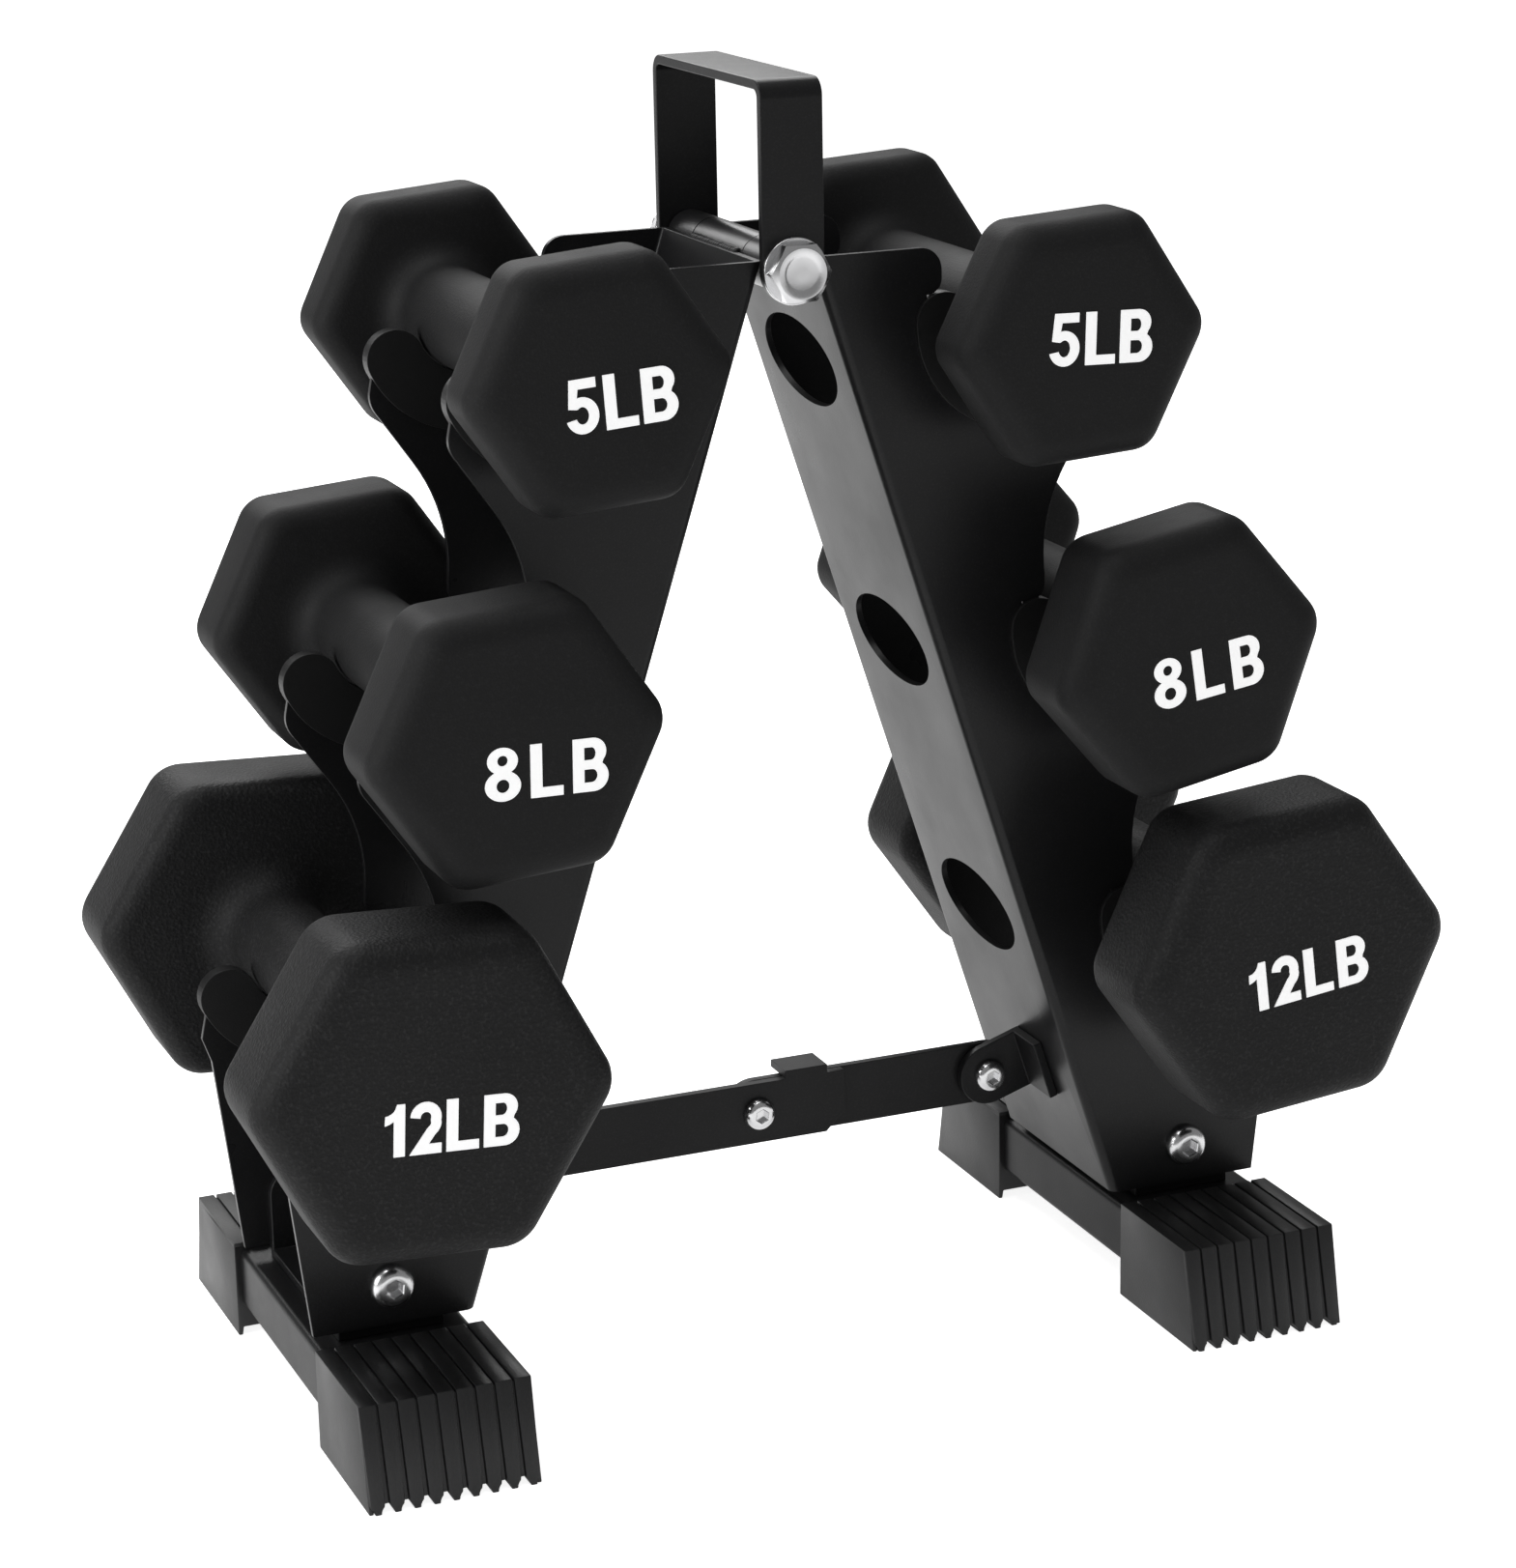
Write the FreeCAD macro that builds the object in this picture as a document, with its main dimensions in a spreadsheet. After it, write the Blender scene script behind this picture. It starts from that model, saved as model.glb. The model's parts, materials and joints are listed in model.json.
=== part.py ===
import FreeCAD, Part
import os
import Sketcher
from FreeCAD import Placement, Rotation, Vector

doc = FreeCAD.newDocument("dumbbell_rack")
sheet = doc.addObject("Spreadsheet::Sheet", "P")

# Driving dimensions, in millimetres and degrees.
SIZES = {
    # leg, a folded sheet channel hung from the top pivot
    "pivot_z": 348.5,
    "leg_angle": 17.9,
    "sheet": 2.0,
    "web_clearance": 0.7,
    "leg_width": 78.5,
    "bend_radius": 3.0,
    "leg_top_rise": 2.9,
    "leg_foot_z": 33.5,
    "web_hole_first": 39.9,
    "web_hole_step": 6.0,
    "web_hole_half_width": 25.9,
    "web_hole_half_height": 15.3,
    # saddles, one per tier, upright while the rack stands open
    "saddle_first": 42.5,
    "saddle_last_up": 80.523,
    "saddle_out": 66.5,
    "bore_clearance": 1.5,
    "pad_seat": 1.5,
    "pad_width": 18.5,
    "liner_skin": 1.5,
    "finger_drop": 25.0,
    # flange outline round a saddle, measured from the saddle's centre
    "lobe_reach": 26.0,
    "lobe_step": 3.0,
    "lobe_top": 8.5,
    "lobe_low": 16.0,
    "lobe_radius": 7.0,
    "lobe_ease": 2.2,
    "notch_tuck": 4.0,
    "notch_rise": 5.0,
    "saddle_floor": 4.0,
    "floor_ease": 4.5,
    "sheet_tuck": 0.8,
    "tip_tuck": 1.5,
    "finger_inset": 2.5,
    "finger_low": 24.0,
    "finger_corner": 9.0,
    "scallop_out": 7.5,
    "scallop_up": 38.97,
    "scallop_radius": 55.0,
    "skirt_inset": 5.5,
    "skirt_drop": 8.0,
    "flange_foot": 25.4,
    # foot: tube, rubber caps and the bracket the leg bolts to
    "foot_inset": 26.83,
    "tube_width": 50.0,
    "tube_height": 20.0,
    "tube_wall": 1.5,
    "tube_corner": 2.5,
    "tube_z": 9.8,
    "tube_length": 172.0,
    "cap_wall": 2.0,
    "cap_top_z": 32.2,
    "cap_top_front": 89.7,
    "cap_bottom_front": 97.2,
    "cap_overlap": 6.25,
    "cap_collar": 10.0,
    "groove_count": 8,
    "groove_width": 2.4,
    "groove_depth": 1.0,
    "tooth_lean": 0.6,
    "tooth_depth": 4.5,
    "bracket_sheet": 3.0,
    "bracket_length": 34.0,
    "bracket_top_z": 59.0,
    "ear_radius": 8.0,
    "leg_bolt_z": 46.4,
    "leg_bolt_radius": 4.0,
    "leg_bolt_head_radius": 7.0,
    "leg_bolt_head": 4.2,
    "leg_bolt_key": 5.0,
    "leg_bolt_key_depth": 2.4,
    "leg_bolt_tail": 7.5,
    "leg_nut": 6.5,
    "leg_nut_flats": 13.0,
    # top pivot and carry handle
    "barrel_wall": 2.7,
    "knuckle_half": 20.0,
    "knuckle_gap": 0.5,
    "barrel_end_gap": 0.35,
    "weld_bite": 1.2,
    "weld_start": 0.4,
    "weld_leg": 7.5,
    "weld_end": 2.0,
    "pivot_radius": 5.0,
    "running_gap": 0.08,
    "strap_width": 20.0,
    "strap_sheet": 3.0,
    "strap_gap": 1.25,
    "strap_rise": 56.5,
    "strap_corner": 5.5,
    "washer_rim": 5.2,
    "washer_sheet": 1.5,
    "hex_head": 5.5,
    "hex_nut": 8.5,
    "nut_collar": 2.5,
    "collar_step": 0.6,
    "bolt_tail": 2.0,
    # folding stretcher
    "stay_inset": 16.552,
    "stay_z": 67.3,
    "stay_half_height": 10.3,
    "stay_sheet": 3.0,
    "layer_gap": 0.4,
    "stay_pin_radius": 3.0,
    "stay_head_radius": 5.4,
    "stay_head": 3.4,
    "stay_key": 4.0,
    "stay_key_depth": 2.0,
    "stay_tail_out": 7.0,
    "stay_nut": 5.5,
    "stay_nut_flats": 10.0,
    "stay_nut_gap": 0.3,
    "dome_land": 1.0,
    "tab_base": 15.0,
    "tab_sheet": 3.0,
    "lip_start": 9.5,
    "lip_end": 24.5,
    "lip_reach": 9.0,
    "lip_sheet": 2.5,
    "lip_gap": 0.3,
    "lip_margin": 6.0,
    "lip_bury": 2.0,
    "stay_tail": 31.0,
    "tail_cut_top": 5.0,
    "tail_cut_low": 7.0,
    # dumbbells: half flats, half length, head thickness, then shared sizes
    "flat5": 36.5,
    "half5": 88.0,
    "head5": 27.5,
    "flat8": 40.5,
    "half8": 98.5,
    "head8": 34.0,
    "flat12": 49.0,
    "half12": 108.0,
    "head12": 40.0,
    "grip_radius": 15.0,
    "grip_rest_gap": 0.4,
    "grip_bury": 1.0,
    "coat": 2.0,
    "head_round": 9.0,
    "rim_ease": 1.0,
}
# Values worked out from the driving ones.
DERIVED = {
    "sa": "=sin(leg_angle * 1 deg)",
    "ca": "=cos(leg_angle * 1 deg)",
    "barrel_radius": "=pivot_radius + barrel_wall",
    "web_gap": "=barrel_radius + web_clearance",
    "washer_radius": "=pivot_radius + washer_rim",
    "hex_flats": "=3.4 * pivot_radius",
    "barrel_half": "=leg_width / 2 + barrel_end_gap",
    "strap_half": "=leg_width / 2 + strap_sheet + strap_gap",
    "strap_top_z": "=pivot_z + strap_rise",
    "foot_x": "=(web_gap + (pivot_z - leg_foot_z) * sa) / ca + foot_inset",
    "stay_x": "=(web_gap + (pivot_z - stay_z) * sa) / ca - stay_inset",
    "tier_pitch": "=((pivot_z - leg_foot_z) / ca - saddle_first - saddle_last_up) / 2",
    "web_hole_pitch": "=tier_pitch - web_hole_step",
    "liner_bore_radius": "=grip_radius + bore_clearance",
    "liner_radius": "=liner_bore_radius + pad_width",
    "sheet_saddle_radius": "=liner_bore_radius + pad_seat",
    "cap_back": "=leg_width / 2 + cap_overlap",
    "groove_pitch": "=tube_width * 0.96 / groove_count",
    "layer": "=layer_gap / 2",
    "rest_drop": "=liner_bore_radius - grip_radius - grip_rest_gap",
    "liner_mid": "=(liner_bore_radius + liner_radius) / 2",
    "liner_end": "=(liner_radius - liner_bore_radius) / 2",
}


def fill_sheet():
    rows = list(SIZES.items()) + list(DERIVED.items())
    for row, (name, value) in enumerate(rows, start=1):
        sheet.set("A%d" % row, name)
        sheet.set("B%d" % row, str(value))
        sheet.setAlias("B%d" % row, name)
    doc.recompute()


def num(expr):
    """The value of an expression on the sheet, as a plain number."""
    value = sheet.evalExpression(named(expr))
    return float(getattr(value, "Value", value))


def named(expr):
    """Points every size name in an expression at the sheet."""
    words = sorted(list(SIZES) + list(DERIVED), key=len, reverse=True)
    out, i = "", 0
    while i < len(expr):
        hit = next((w for w in words if expr.startswith(w, i) and bounded(expr, i, len(w))), None)
        out += "P." + hit if hit else expr[i]
        i += len(hit) if hit else 1
    return out


def bounded(expr, start, size):
    """True if the word at start is not part of a longer word."""
    before = expr[start - 1] if start else " "
    after = expr[start + size] if start + size < len(expr) else " "
    return not (before.isalnum() or before in "_.") and not (after.isalnum() or after == "_")


def new_body(name, side="right", compound=False):
    """An empty body; the left side is the right side turned half a turn about Z."""
    body = doc.addObject("PartDesign::Body", name)
    body.Label = name
    if compound:
        body.AllowCompound = True
    if side == "left":
        body.Placement = Placement(Vector(0, 0, 0), Rotation(Vector(0, 0, 1), 180))
    return body


def new_sketch(body, name, role, offset="0"):
    """A sketch on one of the body's own planes, moved along that plane's normal."""
    sketch = body.newObject("Sketcher::SketchObject", name)
    plane = next(f for f in body.Origin.OriginFeatures if f.Role == role)
    sketch.AttachmentSupport = (plane, [""])
    sketch.MapMode = "FlatFace"
    sketch.AttachmentOffset = Placement(Vector(0, 0, num(offset)), Rotation())
    sketch.setExpression("AttachmentOffset.Base.z", named(offset))
    return sketch


def bind(sketch, kind, args, expr):
    """Adds a dimension and ties it to the sheet."""
    index = sketch.addConstraint(Sketcher.Constraint(kind, *args, num(expr)))
    sketch.setExpression("Constraints[%d]" % index, named(expr))


def draw_loop(sketch, points):
    """A closed run of straight lines through points given as expression pairs."""
    spots = [Vector(num(a), num(b), 0) for a, b in points]
    first = sketch.GeometryCount
    count = len(spots)
    for i in range(count):
        sketch.addGeometry(Part.LineSegment(spots[i], spots[(i + 1) % count]), False)
    joins = [Sketcher.Constraint("Coincident", first + i, 2, first + (i + 1) % count, 1) for i in range(count)]
    sketch.addConstraint(joins)
    for i, (a, b) in enumerate(points):
        bind(sketch, "DistanceX", (-1, 1, first + i, 1), a)
        bind(sketch, "DistanceY", (-1, 1, first + i, 1), b)


def draw_circle(sketch, centre, radius):
    spot = Vector(num(centre[0]), num(centre[1]), 0)
    index = sketch.addGeometry(Part.Circle(spot, Vector(0, 0, 1), num(radius)), False)
    bind(sketch, "Radius", (index,), radius)
    bind(sketch, "DistanceX", (-1, 1, index, 3), centre[0])
    bind(sketch, "DistanceY", (-1, 1, index, 3), centre[1])


def draw_oval(sketch, centre, half_width, half_height):
    """An ellipse with its long axis level."""
    middle = Vector(num(centre[0]), num(centre[1]), 0)
    side, top = middle + Vector(num(half_width), 0, 0), middle + Vector(0, num(half_height), 0)
    index = sketch.addGeometry(Part.Ellipse(side, top, middle), False)
    sketch.exposeInternalGeometry(index)
    long_axis, short_axis = index + 1, index + 2
    sketch.addConstraint(Sketcher.Constraint("Horizontal", long_axis))
    bind(sketch, "Distance", (long_axis,), "2 * %s" % half_width)
    bind(sketch, "Distance", (short_axis,), "2 * %s" % half_height)
    bind(sketch, "DistanceX", (-1, 1, index, 3), centre[0])
    bind(sketch, "DistanceY", (-1, 1, index, 3), centre[1])


def extrude(body, name, kind, sketch, length, midplane=False):
    """A pad or pocket of the sketch."""
    feature = body.newObject("PartDesign::" + kind, name)
    feature.Profile = sketch
    feature.Length = num(length)
    feature.setExpression("Length", named(length))
    if midplane:
        feature.SideType = "Symmetric"
    sketch.Visibility = False
    return feature


def draw(sketch, loops=(), circles=()):
    for points in loops:
        draw_loop(sketch, points)
    for centre, radius in circles:
        draw_circle(sketch, centre, radius)


def slab(body, name, kind, low, high, loops=(), circles=()):
    """Material added or taken away between two values of Y, outlined in X and Z."""
    offset = "-(%s)" % (high if kind == "Pad" else low)
    sketch = new_sketch(body, name + "_sketch", "XZ_Plane", offset)
    draw(sketch, loops, circles)
    return extrude(body, name, kind, sketch, "(%s) - (%s)" % (high, low))


def bar(body, name, kind, low, high, loops=(), circles=()):
    """Material added or taken away between two values of X, outlined in Y and Z."""
    sketch = new_sketch(body, name + "_sketch", "YZ_Plane", low if kind == "Pad" else high)
    draw(sketch, loops, circles)
    return extrude(body, name, kind, sketch, "(%s) - (%s)" % (high, low))


def box_loop(x0, x1, z0, z1):
    return [(x0, z0), (x1, z0), (x1, z1), (x0, z1)]


def hex_loop(x, z, half_flats, turn="0"):
    """Six corners about a centre; flats lie level when turn is zero degrees."""
    reach = "(%s) / cos(30 deg)" % half_flats
    spots = []
    for corner in range(6):
        angle = "((%s) + %d) * 1 deg" % (turn, 60 * corner)
        spots.append(("%s + %s * cos(%s)" % (x, reach, angle), "%s + %s * sin(%s)" % (z, reach, angle)))
    return spots


def round_edges(body, name, radius, wanted, kind="Fillet"):
    """Rounds or bevels the edges that wanted(edge) accepts."""
    doc.recompute()
    shape = body.Tip.Shape
    names = ["Edge%d" % (i + 1) for i, edge in enumerate(shape.Edges) if wanted(edge)]
    if not names:
        raise RuntimeError("no edges for " + name)
    base = body.Tip
    feature = body.newObject("PartDesign::" + kind, name)
    feature.Base = (base, names)
    key = "Radius" if kind == "Fillet" else "Size"
    setattr(feature, key, num(radius))
    feature.setExpression(key, named(radius))
    doc.recompute()
    return feature


def along_y_at(spots):
    """Accepts straight edges along Y that pass through one of the X, Z spots."""
    places = [(num(x), num(z)) for x, z in spots]

    def wanted(edge):
        middle = edge.CenterOfMass
        box = edge.BoundBox
        straight = box.YLength > 1.0 and box.XLength < 0.01 and box.ZLength < 0.01
        return straight and any(abs(middle.x - x) < 0.1 and abs(middle.z - z) < 0.1 for x, z in places)

    return wanted


def rim_at_y(values):
    """Accepts edges that lie wholly in one of the planes of constant Y."""
    levels = [num(v) for v in values]

    def wanted(edge):
        box = edge.BoundBox
        return box.YLength < 0.01 and any(abs(box.YMin - v) < 0.02 for v in levels)

    return wanted


def on_leg(down, out):
    """A spot given along the leg from the pivot and outward from the leg's line."""
    return ("(%s) * sa + (%s) * ca" % (down, out), "pivot_z + (%s) * sa - (%s) * ca" % (out, down))


def saddle(tier):
    """Centre of a tier's saddle."""
    return on_leg("saddle_first + %d * tier_pitch" % tier, "saddle_out")


def beside(spot, right, up):
    return ("%s + (%s)" % (spot[0], right), "%s + (%s)" % (spot[1], up))


def leg_line_x(out, z):
    """X where the line at a given distance out from the leg's line meets height z."""
    return "((%s) - ((%s) - pivot_z) * sa) / ca" % (out, z)


def finger_spot(tier, radius):
    """A spot on a tier's finger at a given distance from the saddle's centre."""
    right = "(%s) * cos(finger_drop * 1 deg)" % radius
    return beside(saddle(tier), right, "-(%s) * sin(finger_drop * 1 deg)" % radius)


def scallop(tier):
    """The deepest spot of the edge below a tier's saddle."""
    return beside(saddle(tier), "scallop_out", "scallop_up - tier_pitch * ca")


def lobe_foot(tier):
    return beside(saddle(tier), "lobe_step - lobe_reach", "lobe_low")


def finger_corner(tier):
    return beside(saddle(tier), "liner_radius - finger_inset", "-finger_low")


def hook_points(tier):
    """One tier of the flange outline: lobe, notch, saddle floor, finger and its lower corner."""
    centre = saddle(tier)
    reach = "-lobe_reach" if tier == 0 else "lobe_step - lobe_reach"
    notch = "notch_tuck - liner_radius"
    floor = "liner_bore_radius - floor_ease"
    return [
        beside(centre, reach, "lobe_top"),
        beside(centre, notch, "lobe_top"),
        beside(centre, notch, "notch_rise"),
        beside(centre, "0.5 - liner_bore_radius", "notch_rise"),
        beside(centre, "-(%s)" % floor, "-saddle_floor"),
        beside(centre, floor, "-saddle_floor"),
        finger_spot(tier, "sheet_saddle_radius - sheet_tuck"),
        finger_spot(tier, "liner_radius - tip_tuck"),
        finger_corner(tier),
    ]


def leg_outline():
    """The whole side view of a leg, web line included."""
    top = "pivot_z + leg_top_rise"
    points = [(leg_line_x("web_gap", top), top), (beside(saddle(0), "-lobe_reach", "0")[0], top)]
    points += hook_points(0)
    for tier in (1, 2):
        points += [scallop(tier - 1), lobe_foot(tier)] + hook_points(tier)
    edge = beside(finger_corner(2), "-skirt_inset / 2", "-skirt_drop")
    points += [edge, ("foot_x + flange_foot", "leg_foot_z")]
    points += [(leg_line_x("web_gap", "leg_foot_z"), "leg_foot_z")]
    return points


def build_leg(side):
    body = new_body(side + "_leg", side)
    slab(body, "side_view", "Pad", "-leg_width / 2", "leg_width / 2", [leg_outline()])
    top = [(beside(saddle(0), "-lobe_reach", "0")[0], "pivot_z + leg_top_rise")]
    round_edges(body, "top_corner", "lobe_radius", along_y_at(top))
    lobes = [hook_points(t)[0] for t in range(3)]
    round_edges(body, "lobes", "lobe_radius - lobe_ease", along_y_at(lobes))
    round_edges(body, "finger_corners", "finger_corner", along_y_at([finger_corner(t) for t in (0, 1)]))
    round_edges(body, "scallops", "scallop_radius", along_y_at([scallop(t) for t in (0, 1)]))
    top, low, far = "pivot_z + tube_height", "leg_foot_z - tube_height", "foot_x + 2 * leg_width"
    inside = [(leg_line_x("web_gap + sheet", top), top), (far, top), (far, low)]
    inside += [(leg_line_x("web_gap + sheet", low), low)]
    slab(body, "channel", "Pocket", "sheet - leg_width / 2", "leg_width / 2 - sheet", [inside])
    round_edges(body, "outer_bends", "bend_radius", bend_edges("web_gap", "leg_width / 2"))
    round_edges(body, "inner_bends", "bend_radius - sheet", bend_edges("web_gap + sheet", "leg_width / 2 - sheet"))
    rounds = [(saddle(t), "sheet_saddle_radius") for t in range(3)]
    slab(body, "saddles", "Pocket", "-leg_width", "leg_width", circles=rounds)
    tips = [(finger_spot(t, "liner_mid"), "liner_end - tip_tuck") for t in range(3)]
    slab(body, "front_tips", "Pad", "-leg_width / 2", "sheet - leg_width / 2", circles=tips)
    slab(body, "rear_tips", "Pad", "leg_width / 2 - sheet", "leg_width / 2", circles=tips)
    bolt = [(("foot_x", "leg_bolt_z"), "leg_bolt_radius + running_gap")]
    slab(body, "bolt_holes", "Pocket", "-leg_width", "leg_width", circles=bolt)
    cut_web_holes(body)
    return body


def bend_edges(out, y):
    """Accepts the long edges where the web meets a flange."""
    level, side = num(out), num(y)
    lean = (num("sa"), num("ca"), num("pivot_z"))

    def wanted(edge):
        middle, box = edge.CenterOfMass, edge.BoundBox
        off = middle.x * lean[1] + (middle.z - lean[2]) * lean[0] - level
        return box.YLength < 0.01 and box.ZLength > 100 and abs(off) < 0.05 and abs(abs(middle.y) - side) < 0.05

    return wanted


def cut_web_holes(body):
    """Three oval holes square through the sloping web, wider than they are high."""
    sketch = new_sketch(body, "web_holes_sketch", "YZ_Plane")
    sketch.AttachmentOffset = Placement(Vector(0, num("pivot_z"), 0), Rotation(Vector(-1, 0, 0), num("leg_angle")))
    sketch.setExpression("AttachmentOffset.Base.y", named("pivot_z"))
    sketch.setExpression("AttachmentOffset.Rotation.Angle", named("leg_angle"))
    for i in range(3):
        middle = ("0", "-(web_hole_first + %d * web_hole_pitch)" % i)
        draw_oval(sketch, middle, "web_hole_half_width", "web_hole_half_height")
    extrude(body, "web_holes", "Pocket", sketch, "4 * (web_gap + sheet)", midplane=True)


def build_liners(side, leg):
    """Three saddle pads on each flange, slotted over the sheet."""
    body = new_body(side + "_liner_blanks", side, compound=True)
    outer = "leg_width / 2 + liner_skin"
    inner = "leg_width / 2 - sheet - liner_skin"
    discs = [(saddle(t), "liner_radius") for t in range(3)]
    bores = [(saddle(t), "liner_bore_radius") for t in range(3)]
    slab(body, "discs", "Pad", "-(%s)" % outer, outer, circles=discs)
    slab(body, "bores", "Pocket", "-2 * leg_width", "2 * leg_width", circles=bores)
    ends = []
    for t in range(3):
        centre = saddle(t)
        far = "2 * liner_radius"
        ends.append([
            centre,
            beside(centre, far + " * cos(finger_drop * 1 deg)", "-(%s) * sin(finger_drop * 1 deg)" % far),
            beside(centre, far, "1.4 * liner_radius"),
            beside(centre, "-(%s)" % far, "1.4 * liner_radius"),
            beside(centre, "-(%s)" % far, "0"),
        ])
    for t in range(3):
        slab(body, "mouth_%d" % t, "Pocket", "-2 * leg_width", "2 * leg_width", [ends[t]])
    tips = [(finger_spot(t, "liner_mid"), "liner_end") for t in range(3)]
    roots = [(beside(saddle(t), "-liner_mid", "0"), "liner_end") for t in range(3)]
    slab(body, "tips", "Pad", "-(%s)" % outer, outer, circles=tips)
    slab(body, "roots", "Pad", "-(%s)" % outer, outer, circles=roots)
    clear = [box_loop("0", "foot_x + 3 * leg_width", "0", "pivot_z + leg_width")]
    slab(body, "middle", "Pocket", "-(%s)" % inner, inner, clear)
    liners = doc.addObject("Part::Cut", side + "_saddle_liners")
    liners.Label = side + "_saddle_liners"
    liners.Base = body
    liners.Tool = leg
    doc.recompute()
    return liners


def build_knuckles(side):
    """The barrel pieces welded to a leg's web: the middle one on the left, the outer two on the right."""
    body = new_body(side + "_knuckles", side, compound=True)
    spot = ("0", "pivot_z")
    end = "knuckle_half" if side == "left" else "barrel_half"
    slab(body, "barrel", "Pad", "-" + end, end, circles=[(spot, "barrel_radius")])
    throat = "(barrel_radius - weld_bite / 2) * cos(45 deg)"
    weld = [on_leg("weld_start", "barrel_radius - weld_bite"), on_leg("weld_start", "web_gap")]
    weld += [on_leg("weld_leg", "web_gap"), on_leg(throat, throat)]
    slab(body, "weld", "Pad", "weld_end - " + end, end + " - weld_end", [weld])
    slab(body, "bore", "Pocket", "-leg_width", "leg_width", circles=[(spot, "pivot_radius + running_gap")])
    if side == "right":
        gap = "knuckle_half + knuckle_gap"
        room = "2 * barrel_radius"
        around = box_loop("-" + room, room, "pivot_z - " + room, "pivot_z + " + room)
        slab(body, "middle_gap", "Pocket", "-(%s)" % gap, gap, [around])
    return body


def build_foot(side):
    tube = new_body(side + "_foot_tube", side)
    x0, x1 = "foot_x - tube_width / 2", "foot_x + tube_width / 2"
    z1 = "tube_z + tube_height"
    slab(tube, "tube", "Pad", "-tube_length / 2", "tube_length / 2", [box_loop(x0, x1, "tube_z", z1)])
    round_edges(tube, "corners", "tube_corner", along_y_at(box_loop(x0, x1, "tube_z", z1)))
    hollow = box_loop(x0 + " + tube_wall", x1 + " - tube_wall", "tube_z + tube_wall", z1 + " - tube_wall")
    slab(tube, "hollow", "Pocket", "-tube_length", "tube_length", [hollow])
    bracket = new_body(side + "_foot_bracket", side)
    a, b = "foot_x - bracket_length / 2", "foot_x + bracket_length / 2"
    half = "leg_width / 2 - sheet"
    bar(bracket, "block", "Pad", a, b, [box_loop("-(%s)" % half, half, z1, "bracket_top_z")])
    corners = [(a, "bracket_top_z"), (b, "bracket_top_z")]
    round_edges(bracket, "ears", "ear_radius", along_y_at(corners))
    gap = "%s - bracket_sheet" % half
    hollow = box_loop("-(%s)" % gap, gap, z1 + " + bracket_sheet", "2 * bracket_top_z")
    bar(bracket, "between_ears", "Pocket", a + " - ear_radius", b + " + ear_radius", [hollow])
    bolt = [(("foot_x", "leg_bolt_z"), "leg_bolt_radius + running_gap")]
    slab(bracket, "bolt_holes", "Pocket", "-leg_width", "leg_width", circles=bolt)
    for end in ("front", "rear"):
        build_cap(side, end)
    build_leg_bolts(side)


def build_cap(side, end):
    """A ribbed rubber end cap over one end of the foot tube."""
    body = new_body("%s_%s_cap" % (side, end), side)
    if end == "rear":
        turn = Placement(Vector(2 * num("foot_x"), 0, 0), Rotation(Vector(0, 0, 1), 180))
        body.Placement = body.Placement.multiply(turn)
    a = "foot_x - tube_width / 2 - cap_wall"
    b = "foot_x + tube_width / 2 + cap_wall"
    profile = [("-cap_back", "0"), ("-cap_bottom_front", "0"), ("-cap_top_front", "cap_top_z"), ("-cap_back", "cap_top_z")]
    bar(body, "block", "Pad", a, b, [profile])
    socket = box_loop("foot_x - tube_width / 2", "foot_x + tube_width / 2", "tube_z", "tube_z + tube_height")
    slab(body, "socket", "Pocket", "-tube_length / 2", "0", [socket])
    collar, below, above = "cap_collar - cap_back", "-cap_wall", "cap_top_z + cap_wall"
    core = [
        (collar, below), ("-cap_bottom_front - cap_collar", below), ("-cap_top_front - cap_collar", above),
        (collar, above), (collar, "cap_top_z - groove_depth"),
        ("groove_depth - cap_top_front", "cap_top_z - groove_depth"),
        ("groove_depth + tooth_lean - cap_bottom_front", "tooth_depth"), (collar, "tooth_depth"),
    ]
    first = "foot_x - (groove_count - 1) / 2 * groove_pitch"
    groove = bar(body, "groove", "Pocket", first + " - groove_width / 2", first + " + groove_width / 2", [core])
    doc.recompute()
    repeat = body.newObject("PartDesign::LinearPattern", "grooves")
    repeat.Originals = [groove]
    plane = next(f for f in body.Origin.OriginFeatures if f.Role == "X_Axis")
    repeat.Direction = (plane, [""])
    repeat.Length = num("(groove_count - 1) * groove_pitch")
    repeat.setExpression("Length", named("(groove_count - 1) * groove_pitch"))
    repeat.Occurrences = int(num("groove_count"))
    body.Tip = repeat


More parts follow.
